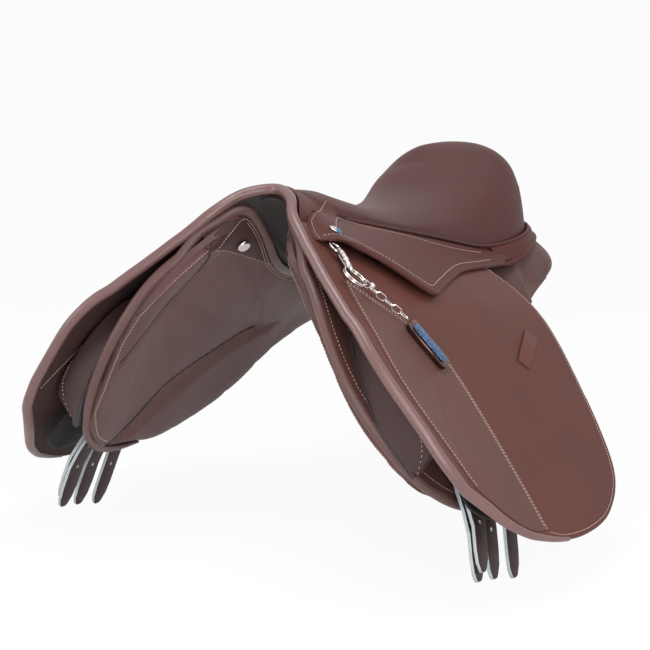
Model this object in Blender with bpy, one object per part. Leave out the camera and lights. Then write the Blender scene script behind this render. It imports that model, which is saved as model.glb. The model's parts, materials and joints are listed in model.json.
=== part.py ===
"""An English jumping saddle: tree, seat, panels, flaps, skirts, girth straps and a keyring charm.

Lengths are millimetres from the top of the pommel: x to the rider's left (near side), y to the
rear, z up.  place() moves them to the part's origin, the rack rest in the gullet, in metres.
The pieces of one side lie in layers over that side's sloping plane: u runs rearward, v down
the slope and h out of it.  The off side is the near side mirrored.
"""
import math

import bmesh
import bpy
from mathutils import Matrix, Vector

MM = 0.001
REST_POINT = Vector((0.0, 180.0, -112.0))   # rack rest, from the pommel's top
SIDES = (("left", 1), ("right", -1))
FIT = 0.5                                   # gap between pieces that touch

# Side plane of the flaps and the fold line from which flaps and skirts hang
FLAP_SLOPE = math.radians(52.3)
SIDE_X = 67.8
FOLD_V = -2.4
FOLD_RUN = 0.307
FOLD_REAR = 330.0
FOLD_DEPTH = 44.0
FOLD_DEPTH_REAR = 20.0
FOLD_FALL = 150.0
LIFT_SPAN = 0.32                            # share of the width that the front padding lifts

# Leather and padding
FLAP_THICK = 4.0
FLAP_HEAD = 9.0                             # extra thickness where the flap is nailed on
SKIRT_THICK = 3.6
SKIRT_STANDOFF = 10.0
SKIVE = 0.4                                 # thickness left at the skirt's seam
SWEAT_THICK = 3.4
SWEAT_GAP = 18.0                            # flap surface to sweat flap at the top
POMMEL_CLOSE = 11.0                         # how much less that is at the pommel
SWEAT_SPREAD = 0.13                         # how fast the two part further down
ROLL_RADIUS = 6.0
WELT_RADIUS = 2.2
COVER_THICK = 2.5
FOAM_THICK = 17.0
TREE_THICK = 11.5
FACING_THICK = 3.5
LINING_THICK = 3.0

# Girth straps
STRAP_WIDTH = 26.0
STRAP_THICK = 4.4
STRAP_TIP = 24.0
STRAP_TOP_V = 108.0
STRAP_LEAN = 0.28                           # forward run for each millimetre down
STRAP_HANG = 0.42                           # inward run below the sweat flap
STRAP_FREE_V = 390.0
STRAP_EASE = 1.4                            # loose fit of the straps on their webs
WEB_THICK = 2.2
WEB_LAP = 14.0                              # web under the strap's top
GUARD_THICK = 2.6

# Knee blocks
BASE_THICK = 1.4
BLOCK_CLEAR = 5.0                           # block to flap

# Metal
BAR_RADIUS = 2.9
PLATE_THICK = 5.0
NAIL_RADIUS = 7.5
STUD_RADIUS = 8.0
DEE_WIRE = 1.5
RING_RADIUS = 14.0
RING_WIRE = 1.6
FOB_LENGTH = 62.0
FOB_WIDTH = 20.0
FOB_THICK = 5.0

LEATHER = (0.125, 0.058, 0.048)
SEAT_LEATHER = (0.105, 0.064, 0.056)
DARK = (0.022, 0.017, 0.016)
STEEL = (0.62, 0.60, 0.58)


def curve_at(points, share):
    """Point at a share from 0 to 1 of a Catmull-Rom curve through the given points."""
    pts = [Vector(p) for p in points]
    ends = [pts[0] * 2 - pts[1]] + pts + [pts[-1] * 2 - pts[-2]]
    t = share * (len(pts) - 1)
    k = min(int(t), len(pts) - 2)
    f = t - k
    a, b, c, d = ends[k:k + 4]
    return (b + (c - a) * 0.5 * f + (a * 2 - b * 5 + c * 4 - d) * 0.5 * f ** 2
            + (b * 3 - a - c * 3 + d) * 0.5 * f ** 3)


def spline(points, count):
    return [curve_at(points, i / (count - 1)) for i in range(count)]


def table(points, x):
    """Smooth value at x of a curve given by a few (x, value) points."""
    if x <= points[0][0]:
        return points[0][1]
    for (x0, y0), (x1, y1) in zip(points, points[1:]):
        if x <= x1:
            return y0 + (y1 - y0) * ease((x - x0) / (x1 - x0))
    return points[-1][1]


def ease(t):
    t = max(0.0, min(1.0, t))
    return t * t * (3 - 2 * t)


def coons(top, bottom, front, rear, across, down):
    """Grid over a four-sided outline; s runs front to rear and t top to bottom."""
    c0, c1 = spline(top, across + 1), spline(bottom, across + 1)
    d0, d1 = spline(front, down + 1), spline(rear, down + 1)
    grid = []
    for j in range(down + 1):
        t = j / down
        row = []
        for i in range(across + 1):
            s = i / across
            p = (c0[i] * (1 - t) + c1[i] * t + d0[j] * (1 - s) + d1[j] * s
                 - (c0[0] * (1 - t) + c1[0] * t) * (1 - s) - (c0[-1] * (1 - t) + c1[-1] * t) * s)
            row.append((p.x, p.y, s, t))
        grid.append(row)
    return grid


def columns(pairs, across, down):
    """Grid over an outline of (top, bottom) pairs from front to rear; across and down are shares."""
    if isinstance(across, int):
        across = [i / across for i in range(across + 1)]
    if isinstance(down, int):
        down = [j / down for j in range(down + 1)]
    tops, feet = [p[0] for p in pairs], [p[1] for p in pairs]
    grid = []
    for t in down:
        row = []
        for s in across:
            p = curve_at(tops, s).lerp(curve_at(feet, s), t)
            row.append((p.x, p.y, s, t))
        grid.append(row)
    return grid


def place(point):
    return (point - REST_POINT) * MM


def side_point(u, v, h, side):
    x = SIDE_X + v * math.cos(FLAP_SLOPE) + h * math.sin(FLAP_SLOPE)
    z = h * math.cos(FLAP_SLOPE) - v * math.sin(FLAP_SLOPE)
    return Vector((side * x, u, z))


def side_axes(side):
    """Directions of u, v and h on one side."""
    down = Vector((side * math.cos(FLAP_SLOPE), 0, -math.sin(FLAP_SLOPE)))
    out = Vector((side * math.sin(FLAP_SLOPE), 0, math.cos(FLAP_SLOPE)))
    return Vector((0, 1, 0)), down, out


def spot_on(grid, j, i, height, side):
    """Point of a layer's grid at a height function, and the surface's outward normal there."""
    spot, ahead, below = [side_point(p[0], p[1], height(*p), side)
                          for p in (grid[j][i], grid[j][i + 1], grid[j + 1][i])]
    return spot, (below - spot).cross(ahead - spot).normalized() * side


def material(name, colour, roughness, metallic=0.0):
    found = bpy.data.materials.get(name)
    if found:
        return found
    mat = bpy.data.materials.new(name)
    mat.use_nodes = True
    shader = mat.node_tree.nodes["Principled BSDF"]
    shader.inputs["Base Color"].default_value = (*colour, 1)
    shader.inputs["Roughness"].default_value = roughness
    shader.inputs["Metallic"].default_value = metallic
    return mat


def finish(name, bm, look, pivot=None):
    """Make the object of one piece, closed and facing out, with its origin at its pivot."""
    origin = place(pivot) if pivot else Vector((0, 0, 0))
    bmesh.ops.remove_doubles(bm, verts=bm.verts, dist=0.00001)
    bmesh.ops.dissolve_degenerate(bm, edges=bm.edges, dist=0.00001)
    bmesh.ops.translate(bm, verts=bm.verts, vec=-origin)
    bmesh.ops.recalc_face_normals(bm, faces=bm.faces)
    if bm.calc_volume(signed=True) < 0:
        bmesh.ops.reverse_faces(bm, faces=bm.faces)
    mesh = bpy.data.meshes.new(name)
    bm.to_mesh(mesh)
    bm.free()
    mesh.shade_smooth()
    mesh.set_sharp_from_angle(angle=math.radians(40))
    mesh.materials.append(look)
    obj = bpy.data.objects.new(name, mesh)
    obj.location = origin
    bpy.context.scene.collection.objects.link(obj)
    return obj


def between(name, outer, inner, look, pivot=None, wrap=False, closed=False):
    """Closed solid between two grids of points.

    wrap joins each row's end to its start, and closed needs no wall at the first row.
    """
    bm = bmesh.new()
    faces = [[[bm.verts.new(place(p)) for p in row] for row in grid] for grid in (outer, inner)]
    rows, cols = len(outer), len(outer[0])
    spans = range(cols) if wrap else range(cols - 1)
    for grid in faces:
        for j in range(rows - 1):
            for i in spans:
                k = (i + 1) % cols
                bm.faces.new((grid[j][i], grid[j][k], grid[j + 1][k], grid[j + 1][i]))
    ends = (rows - 1,) if closed else (0, rows - 1)
    rims = [[(j, i) for i in range(cols)] + ([(j, 0)] if wrap else []) for j in ends]
    if not wrap:
        rims += [[(j, i) for j in range(rows)] for i in (0, cols - 1)]
    for rim in rims:
        for (j0, i0), (j1, i1) in zip(rim, rim[1:]):
            bm.faces.new((faces[0][j0][i0], faces[0][j1][i1], faces[1][j1][i1], faces[1][j0][i0]))
    return finish(name, bm, look, pivot)


def layer(name, grid, upper, lower, side, look, pivot=None):
    """Piece lying on a side: a grid of (u, v, s, t) with its upper and lower heights."""
    outer = [[side_point(u, v, upper(u, v, s, t), side) for u, v, s, t in row] for row in grid]
    inner = [[side_point(u, v, lower(u, v, s, t), side) for u, v, s, t in row] for row in grid]
    return between(name, outer, inner, look, pivot)


def ribbon(name, points, across, widths, thick, look, pivot=None):
    """Flat strip of leather, webbing or steel along a path; across is its width's direction."""
    left, right = [], []
    across = across.normalized()
    for i, p in enumerate(points):
        ahead = points[min(i + 1, len(points) - 1)] - points[max(i - 1, 0)]
        out = ahead.cross(across).normalized() * thick / 2
        half = across * widths[i] / 2
        left.append([p - half + out, p + half + out])
        right.append([p - half - out, p + half - out])
    return between(name, left, right, look, pivot)


def tube(name, points, radii, sides, look, pivot=None, closed=False):
    """Round rod along a path, with a radius at each point, capped or closed on itself."""
    bm = bmesh.new()
    loops = []
    count = len(points)
    normal = None
    for i, p in enumerate(points):
        if closed:
            ahead = points[(i + 1) % count] - points[i - 1]
        else:
            ahead = points[min(i + 1, count - 1)] - points[max(i - 1, 0)]
        ahead.normalize()
        if normal is None:
            normal = ahead.orthogonal()
            if closed:
                normal = ahead.cross((points[count // 4] - p).cross(ahead))
        normal = (normal - ahead * normal.dot(ahead)).normalized()
        other = ahead.cross(normal)
        turn = [math.tau * k / sides for k in range(sides)]
        loops.append([bm.verts.new(place(p + (normal * math.cos(a) + other * math.sin(a)) * radii[i]))
                      for a in turn])
    pairs = list(zip(loops, loops[1:])) + ([(loops[-1], loops[0])] if closed else [])
    for a, b in pairs:
        for k in range(sides):
            m = (k + 1) % sides
            bm.faces.new((a[k], a[m], b[m], b[k]))
    if not closed:
        bm.faces.new(loops[0])
        bm.faces.new(loops[-1])
    return finish(name, bm, look, pivot)


def turned(name, base, axis, profile, sides, look, pivot=None):
    """Turned piece: (radius, height) profile spun about an axis from its base point."""
    bm = bmesh.new()
    rows = [bm.verts.new((r, 0, z)) for r, z in profile]
    edges = [bm.edges.new(pair) for pair in zip(rows, rows[1:])]
    bmesh.ops.spin(bm, geom=rows + edges, cent=(0, 0, 0), axis=(0, 0, 1), angle=math.tau,
                   steps=sides, use_merge=True)
    spin = Vector((0, 0, 1)).rotation_difference(axis).to_matrix().to_4x4()
    bmesh.ops.remove_doubles(bm, verts=bm.verts, dist=0.001)
    bmesh.ops.transform(bm, matrix=Matrix.Translation(base) @ spin, verts=bm.verts)
    for vert in bm.verts:
        vert.co = place(vert.co)
    return finish(name, bm, look, pivot)


# Heights of the layers of one side

FLAP_LIFT = [(-30, 9), (17, 4), (56, -5.5), (93, -8.5), (130, -4), (165, 7), (200, 11), (290, 11),
             (324, 8), (360, 1), (400, 0)]


def fold_v(u):
    return FOLD_V + FOLD_RUN * min(u, FOLD_REAR)


def base_height(u, v):
    """Height of the flaps over the side plane: they fall in towards the fold."""
    depth = FOLD_DEPTH + (FOLD_DEPTH_REAR - FOLD_DEPTH) * ease((u - FOLD_REAR) / 70)
    rest = max(0.0, 1 - (v - fold_v(u)) / FOLD_FALL)
    return -depth * rest ** 1.6


def flap_top(u, v, s, t):
    near_front = max(0.0, 1 - s / LIFT_SPAN) ** 2
    return base_height(u, v) + table(FLAP_LIFT, v) * near_front


def flap_foot(u, v, s, t):
    head = FLAP_HEAD * (1 - ease((v - fold_v(u) - 8) / 22))
    return flap_top(u, v, s, t) - FLAP_THICK - head


def sweat_top(u, v, s=1, t=0):
    """Face of the sweat flap; it closes up with the flap at the pommel."""
    below = max(0.0, v - fold_v(u) - 50)
    pommel = ease((20 - u) / 50) * (1 - ease((v - 15) / 45))
    return base_height(u, v) - SWEAT_GAP + POMMEL_CLOSE * pommel - SWEAT_SPREAD * below ** 2 / (below + 40)


def sweat_foot(u, v, s=1, t=0):
    return sweat_top(u, v) - SWEAT_THICK


# Outlines are (u, v) points of the near side
FLAP_TOP = [(-43, 17), (-4, 28), (24, 92), (95, 101), (158, 92), (184, 66), (258, 92)]
FLAP_FRONT = [(-43, 17), (-60, 54), (-91, 124), (-116, 194), (-114, 259), (-105, 322), (-86, 358)]
FLAP_FOOT = [(-86, 358), (-54, 408), (-12, 438), (36, 456), (88, 462), (140, 458), (184, 442)]
FLAP_REAR = [(258, 92), (278, 150), (284, 208), (271, 284), (244, 368), (217, 418), (184, 442)]


def flap_grid():
    return coons(FLAP_TOP, FLAP_FOOT, FLAP_FRONT, FLAP_REAR, 14, 14)


def fold_pivot(side, u=150.0):
    """Point on the fold line, just outside the seat's welt."""
    return side_point(u, fold_v(u), -FOLD_DEPTH + 3, side)


def make_flap(name, side):
    look = material("flap leather", LEATHER, 0.42)
    return layer(f"flap_{name}", flap_grid(), flap_top, flap_foot, side, look, fold_pivot(side))


def make_flap_roll(name, side):
    """Rolled bead sewn along the flap's front edge."""
    look = material("flap leather", LEATHER, 0.42)
    points = []
    for p in spline(FLAP_FRONT, 22):
        height = flap_top(p.x, p.y, 0, 0) - FLAP_THICK / 2
        points.append((p, height))
    path = []
    for i, (p, height) in enumerate(points):
        a, b = points[max(i - 1, 0)][0], points[min(i + 1, len(points) - 1)][0]
        away = Vector((-(b - a).y, (b - a).x)).normalized()
        edge = p + away * -(ROLL_RADIUS + FIT) * (-1 if away.x < 0 else 1)
        path.append(side_point(edge.x, edge.y, height, side))
    return tube(f"flap_roll_{name}", path, [ROLL_RADIUS] * len(path), 7, look, fold_pivot(side))


def make_keeper(name, side):
    """Leather keeper on the flap for the tail of the stirrup leather."""
    look = material("flap leather", LEATHER, 0.42)
    outline = columns([((160, 254), (174, 270)), ((217, 224), (231, 240))], 4, 2)
    return layer(f"flap_keeper_{name}", outline,
                 lambda u, v, s, t: base_height(u, v) + FIT + 1.8,
                 lambda u, v, s, t: base_height(u, v) + FIT, side, look, fold_pivot(side))


SKIRT_TOP = [(8, 4), (120, 38), (230, 72), (328, 102)]
SKIRT_FRONT = [(8, 4), (-20, 26), (-49, 48)]
SKIRT_HEM = [(-49, 48), (-14, 68), (14, 98), (40, 132), (70, 151), (110, 144), (190, 129), (260, 130),
             (328, 131)]
SKIRT_REAR = [(328, 102), (328, 117), (328, 131)]


def skirt_foot(u, v, s, t):
    gap = FIT + 0.6 + SKIRT_STANDOFF * t * ease((s + 0.03) / 0.08) * (1 - ease((s - 0.3) / 0.35))
    lift = table(FLAP_LIFT, v) * max(0.0, 1 - s / 0.18) + 2 * max(0.0, 1 - s / 0.18)
    return base_height(u, v) + gap + max(0.0, lift)


def skirt_top(u, v, s, t):
    """Upper face; the leather is skived thin along the seam."""
    return skirt_foot(u, v, s, t) + SKIRT_THICK * (SKIVE + (1 - SKIVE) * ease(t / 0.2))


def make_skirt(name, side):
    look = material("flap leather", LEATHER, 0.42)
    return layer(f"skirt_{name}", skirt_grid(), skirt_top, skirt_foot, side, look, fold_pivot(side))


SWEAT_TOP = [(-28, 4), (60, 35), (150, 69), (236, 98)]
SWEAT_FRONT = [(-28, 4), (-72, 62), (-104, 132), (-114, 200), (-101, 268), (-70, 326), (-25, 364)]
SWEAT_FOOT = [(-25, 364), (30, 382), (80, 388), (125, 376)]
SWEAT_REAR = [(236, 98), (252, 160), (245, 240), (205, 310), (125, 376)]


def make_sweat_flap(name, side):
    look = material("flap leather", LEATHER, 0.42)
    grid = coons(SWEAT_TOP, SWEAT_FOOT, SWEAT_FRONT, SWEAT_REAR, 13, 14)
    return layer(f"sweat_flap_{name}", grid, sweat_top, sweat_foot, side, look)


PANEL = [((-94, 142), (-100, 186)), ((-64, 58), (-84, 286)), ((-32, 10), (-30, 352)),
         ((12, 24), (40, 372)), ((62, 40), (100, 380)), ((130, 66), (170, 354)), ((185, 82), (218, 302)),
         ((240, 92), (252, 250)), ((330, 104), (330, 192)), ((415, 107), (420, 162)),
         ((450, 116), (456, 148))]
PANEL_ROWS = (0, 0.03, 0.06, 0.125, 0.22, 0.36, 0.5, 0.65, 0.8, 0.92, 0.98, 1)
PANEL_GAP = 3.0
PANEL_TOP_DEPTH = [(0.0, 12), (0.2, 14), (0.3, 22), (0.42, 38), (0.6, 44), (0.9, 46), (1.0, 22)]
PANEL_FOOT_DEPTH = [(0.0, 12), (0.22, 14), (0.4, 24), (0.6, 38), (0.8, 46), (1.0, 22)]


def panel_depth(u, v, s, t):
    """Flocked thickness: full along the gullet, thin down the flap, drawn in at the edges."""
    full = table(PANEL_TOP_DEPTH, s)
    low = table(PANEL_FOOT_DEPTH, s)
    depth = full + (low - full) * ease((t - 0.1) / 0.6)
    crown = (1 - abs(2 * t - 1) ** 7) ** 0.5 * (1 - abs(2 * s - 1) ** 16) ** 0.5
    return 3.0 + (depth - 3.0) * crown


def panel_grid():
    return columns(PANEL, 24, PANEL_ROWS)


def make_panel(name, side):
    look = material("panel leather", SEAT_LEATHER, 0.5)
    grid = panel_grid()
    top = lambda u, v, s, t: sweat_foot(u, v) - PANEL_GAP
    return layer(f"panel_{name}", grid, top,
                 lambda u, v, s, t: top(u, v, s, t) - panel_depth(u, v, s, t), side, look)


# Knee block, guard, webs and girth straps

BLOCK = [((-70, 140), (-34, 152)), ((-96, 200), (-50, 206)), ((-104, 262), (-56, 266)),
         ((-94, 326), (-58, 322))]


def block_grid(across, down):
    """The knee block's foot: pairs run from the top of the block to its lower end."""
    return columns(BLOCK, across, down)


def make_knee_block(name, side):
    look = material("block leather", DARK, 0.6)
    foot = lambda u, v, s, t: sweat_top(u, v) + FIT + BASE_THICK + FIT

    def top(u, v, s, t):
        front = (1 - t) ** 2 * table(FLAP_LIFT, v) * 0.75
        roof = base_height(u, v) + front - FLAP_THICK - BLOCK_CLEAR
        crown = (1 - abs(2 * t - 1) ** 6) ** 0.5 * (1 - abs(2 * s - 1) ** 8) ** 0.5
        return foot(u, v, s, t) + 4 + max(0.0, roof - foot(u, v, s, t) - 4) * crown

    return layer(f"knee_block_{name}", block_grid(12, 7), top, foot, side, look)


def make_block_base(name, side):
    """Hook-and-loop field on the sweat flap that the block is pressed on to."""
    look = material("hook and loop", DARK, 0.9)
    return layer(f"block_base_{name}", block_grid(8, 2),
                 lambda u, v, s, t: sweat_top(u, v) + FIT + BASE_THICK,
                 lambda u, v, s, t: sweat_top(u, v) + FIT, side, look)


WEBS = [("front", 28.0, 108.0), ("rear", 112.0, 160.0)]
# Strap number, place of its top, layer over the sweat flap and v of its tip
STRAPS = [(1, 50.0, 0, 444.0), (2, 52.0, 1, 438.0), (3, 84.0, 0, 450.0), (4, 128.0, 0, 460.0)]


def strap_height(u, v, level):
    under = WEB_THICK + STRAP_EASE + FIT + level * (STRAP_THICK + STRAP_EASE) + STRAP_THICK / 2
    if v <= STRAP_FREE_V:
        return sweat_top(u, v) + under
    return sweat_top(u, STRAP_FREE_V) + under - STRAP_HANG * (v - STRAP_FREE_V)


def make_webs(name, side):
    """Girth webs from the tree's edge to the straps."""
    look = material("webbing", (0.30, 0.27, 0.22), 0.9)
    for place_name, u0, u1 in WEBS:
        grid = columns([((u, fold_v(u) + 6), (u, STRAP_TOP_V + WEB_LAP)) for u in (u0, u1)], 3, 8)
        layer(f"girth_web_{place_name}_{name}", grid,
              lambda u, v, s, t: sweat_top(u, v) + FIT + WEB_THICK,
              lambda u, v, s, t: sweat_top(u, v) + FIT, side, look)


def make_strap(name, side, number, top_u, level, foot_v):
    look = material("strap leather", (0.05, 0.028, 0.026), 0.55)
    steps = 14
    points, widths = [], []
    for i in range(steps + 1):
        v = STRAP_TOP_V + (foot_v - STRAP_TOP_V - STRAP_TIP) * i / steps
        u = top_u - STRAP_LEAN * (v - STRAP_TOP_V)
        points.append(side_point(u, v, strap_height(u, v, level), side))
        widths.append(STRAP_WIDTH)
    for share, width in ((0.55, 0.86), (0.9, 0.5), (1.0, 0.26)):
        v = foot_v - STRAP_TIP * (1 - share)
        u = top_u - STRAP_LEAN * (v - STRAP_TOP_V)
        points.append(side_point(u, v, strap_height(u, v, level), side))
        widths.append(STRAP_WIDTH * width)
    return ribbon(f"girth_strap_{number}_{name}", points, Vector((0, 1, 0)), widths, STRAP_THICK,
                  look, points[0])


GUARD_TOP_V = 132.0
GUARD = [((0, GUARD_TOP_V), (-72, 372)), ((22, GUARD_TOP_V), (-44, 396)), ((64, GUARD_TOP_V), (10, 398)),
         ((88, GUARD_TOP_V), (48, 374))]
GUARD_RUN = 0.07                            # how fast the guard parts from the flap


def make_guard(name, side):
    """Leather buckle guard over the girth straps."""
    look = material("guard leather", DARK, 0.7)
    foot = FLAP_THICK + 1.2 + GUARD_THICK
    low = lambda u, v, s, t: base_height(u, v) - foot - GUARD_RUN * (v - GUARD_TOP_V)
    return layer(f"buckle_guard_{name}", columns(GUARD, 8, 8),
                 lambda *p: low(*p) + GUARD_THICK, low, side, look,
                 side_point(45, GUARD_TOP_V, low(45, GUARD_TOP_V, 0, 0), side))


# Seat and tree

SEAT_EDGE = [(0, 26, -12), (26, 31, -19), (42, 60, -37), (60.7, 160, -60.4), (77.6, 250, -81.4),
             (92.5, 330, -100), (110, 390, -96), (98, 446, -88), (56, 478, -84), (0, 488, -82)]
SEAT_SPINE = [(20, -4), (60, -12), (120, -31), (200, -47), (260, -50), (330, -42), (390, -13), (430, 20),
              (460, 38), (495, 47)]
SEAT_CROSS = [(40, -0.0050), (160, -0.0030), (260, -0.0005), (360, 0.0008), (430, 0.0004), (490, 0.0)]
EDGE_ROUND = 3.2
SEAT_FRONT_Y = 80.0                         # ends of the seat's ridge, from which its rings spread
SEAT_REAR_Y = 380.0
SEAT_SIDES = 40


def seat_edge(count):
    """Closed outline of the seat's welt, from the front centre round the left side."""
    half = spline(SEAT_EDGE, count // 2 + 1)
    return half + [Vector((-p.x, p.y, p.z)) for p in reversed(half[1:-1])]


def seat_rings(inset, drop, levels, count=SEAT_SIDES):
    """Rings of points over the seat's form, set in and lowered, from the middle outwards."""
    rings = []
    for r in levels:
        ring = []
        for p in seat_edge(count):
            mid = Vector((0, max(SEAT_FRONT_Y, min(SEAT_REAR_Y, p.y)), p.z))
            reach = p - mid
            edge = mid + reach * (1 - inset / reach.length)
            q = mid.lerp(edge, r)
            top = table(SEAT_SPINE, q.y) + table(SEAT_CROSS, q.y) * q.x ** 2 - drop
            rise = (1 - r ** EDGE_ROUND) ** 0.5
            ring.append(Vector((q.x, q.y, p.z + (top - p.z) * rise)))
        rings.append(ring)
    return rings


LEVELS = (0.0, 0.3, 0.55, 0.74, 0.87, 0.95, 1.0)
PAD_LEVELS = LEVELS[:5]
WEB_ROOM = WEB_THICK + 8 * FIT
SEAT_WEB_X = 14.0
SEAT_WEB_WIDTH = 22.0
LIP_DROP = 8.0                              # seat cover's edge turned down inside the welt


def lowered(rings, drop):
    return [[p - Vector((0, 0, drop)) for p in ring] for ring in rings]


def pad(name, outer, inner, look):
    """Seat-shaped shell between two sets of rings; a first ring on the spine closes the middle."""
    return between(name, outer, inner, look, wrap=True, closed=True)


def make_seat():
    leather = material("seat leather", SEAT_LEATHER, 0.5)
    edge = COVER_THICK + FIT
    outer, inner = seat_rings(0, 0, LEVELS), seat_rings(COVER_THICK, COVER_THICK, LEVELS)
    for rings in (outer, inner):
        rings += lowered(rings[-1:], LIP_DROP)
    pad("seat_cover", outer, inner, leather)
    form = seat_rings(edge, edge, PAD_LEVELS)
    foam = material("foam", (0.55, 0.48, 0.34), 0.9)
    pad("seat_foam", form, lowered(form, FOAM_THICK), foam)
    wood = material("laminated wood", (0.45, 0.30, 0.16), 0.6)
    top = FOAM_THICK + WEB_ROOM
    frame = form[2:]
    between("tree", lowered(frame, top), lowered(frame, top + TREE_THICK), wood, wrap=True)


def make_seat_webs():
    """Webbing strained over the tree's opening under the foam."""
    look = material("webbing", (0.30, 0.27, 0.22), 0.9)
    drop = COVER_THICK + FIT + FOAM_THICK + WEB_ROOM / 2 + 2 * FIT
    reach = SEAT_WEB_X + SEAT_WEB_WIDTH / 2
    for web, x in (("left", SEAT_WEB_X), ("right", -SEAT_WEB_X)):
        points = []
        for y in range(100, 391, 29):
            sag = min(0.0, 1.5 * table(SEAT_CROSS, y) * reach ** 2)
            points.append(Vector((x, y, table(SEAT_SPINE, y) + sag - drop)))
        widths = [SEAT_WEB_WIDTH] * len(points)
        ribbon(f"seat_web_{web}", points, Vector((1, 0, 0)), widths, WEB_THICK, look)


WELT_START = 70.0


def make_welt():
    """Piping round the seat; in the waist it runs along the fold of the skirts."""
    look = material("seat leather", SEAT_LEATHER, 0.5)
    run = [p for p in spline(SEAT_EDGE, 81) if p.y > WELT_START]
    half = []
    for p in run:
        away = Vector((p.x, max(0.0, p.y - SEAT_REAR_Y), 0)).normalized()
        half.append(p + away * (WELT_RADIUS + 3 * FIT) - Vector((0, 0, 0.5)))
    path = half + [Vector((-p.x, p.y, p.z)) for p in reversed(half[:-1])]
    path = path[::3]
    tube("seat_welt", path, [WELT_RADIUS] * len(path), 6, look)


CANTLE_LEVELS = (0.0, 0.35, 0.7, 1.0)
CANTLE_DROP = (20.0, 20.0)                  # beside the skirts and at the rear
CANTLE_FLARE = (27.0, 9.0)


def make_cantle_skirt():
    """Leather strip round the cantle below the seat's welt, joining the two skirts."""
    look = material("flap leather", LEATHER, 0.42)
    half = [p for p in spline(SEAT_EDGE, 61) if p.y > FOLD_REAR + 1]
    run = half + [Vector((-p.x, p.y, p.z)) for p in reversed(half[:-1])]
    outer, inner = [], []
    for level in CANTLE_LEVELS:
        rows = ([], [])
        for p in run:
            away = Vector((p.x, max(0.0, p.y - SEAT_REAR_Y), 0)).normalized()
            back = ease((p.y - FOLD_REAR) / 110)
            drop = CANTLE_DROP[0] + (CANTLE_DROP[1] - CANTLE_DROP[0]) * back
            flare = CANTLE_FLARE[0] + (CANTLE_FLARE[1] - CANTLE_FLARE[0]) * back
            spot = p + away * (2 * WELT_RADIUS + 2 + flare * level) - Vector((0, 0, 2 + drop * level))
            rows[0].append(spot + away * SKIRT_THICK)
            rows[1].append(spot)
        outer.append(rows[0])
        inner.append(rows[1])
    return between("cantle_skirt", outer, inner, look)


# Pommel: roll, facing, lining, head plate, pockets and trim

POMMEL_ROLL = [(-51, -46.5, -25), (-31, -20, -8), (0, -2, -2), (31, -20, -8), (51, -46.5, -25)]
POMMEL_BACK = [(-53, -2, -38), (-32, 22, -22), (0, 23, -10), (32, 22, -22), (53, -2, -38)]
POMMEL_CROWN = 5.0


def make_pommel():
    leather = material("flap leather", LEATHER, 0.42)
    path = [Vector(p) for p in spline(POMMEL_ROLL, 15)]
    tube("pommel_roll", path, [ROLL_RADIUS] * 15, 8, leather)
    front = []
    for i, p in enumerate(path):
        along = path[min(i + 1, 14)] - path[max(i - 1, 0)]
        behind = Vector((0, 0, 1)).cross(along).normalized()
        front.append(p + behind * (ROLL_RADIUS + FIT) + Vector((0, 0, 2 + 2.5 * ((i - 7) / 7) ** 4)))
    back = spline(POMMEL_BACK, 15)
    outer = [[a.lerp(b, t) + Vector((0, 0, POMMEL_CROWN * 4 * t * (1 - t))) for a, b in zip(front, back)]
             for t in (0, 0.25, 0.5, 0.75, 1)]
    inner = [[p - Vector((0, 0, FACING_THICK)) for p in row] for row in outer]
    between("pommel_facing", outer, inner, leather)


ARCH = [(-24, -44), (-25, -20), (-17, -4), (0, 0), (17, -4), (25, -20), (24, -44)]
ARCH_TOP = [(-8, -14), (8, -29), (20, -42), (50, -68), (92, -84)]
ARCH_STEPS = 16
LINING_RUN = (-8.0, 92.0)
PLATE_RUN = (8.0, 22.0)
PLATE_GAP = 1.5
PLATE_CUT = 4                               # steps of the arch left off each of its legs


def arch_rows(offset, run, rows):
    """Rows of the arch over the gullet, set out by an offset."""
    arch = spline([Vector(p) for p in ARCH], ARCH_STEPS + 1)
    grid = []
    for j in range(rows + 1):
        y = run[0] + (run[1] - run[0]) * j / rows
        row = []
        for i, p in enumerate(arch):
            ahead = arch[min(i + 1, ARCH_STEPS)] - arch[max(i - 1, 0)]
            away = Vector((-ahead.y, ahead.x)).normalized() * offset
            row.append(Vector((p.x + away.x, y, p.y + away.y + table(ARCH_TOP, y))))
        grid.append(row)
    return grid


def make_gullet():
    """Dark lining of the arch and the steel head plate over it."""
    lining = material("gullet lining", DARK, 0.8)
    between("gullet_lining", arch_rows(LINING_THICK, LINING_RUN, 8), arch_rows(0, LINING_RUN, 8), lining)
    steel = material("forged steel", STEEL, 0.35, 1.0)
    low = LINING_THICK + PLATE_GAP
    outer, inner = arch_rows(low + PLATE_THICK, PLATE_RUN, 2), arch_rows(low, PLATE_RUN, 2)
    crown = slice(PLATE_CUT, ARCH_STEPS + 1 - PLATE_CUT)
    between("head_plate", [row[crown] for row in outer], [row[crown] for row in inner], steel)


POCKET_COLS = (3, 11)
POCKET_ROWS = (1, 3)
POCKET_THICK = 2.4


def panel_under(u, v, s, t):
    return sweat_foot(u, v) - PANEL_GAP - panel_depth(u, v, s, t)


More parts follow.
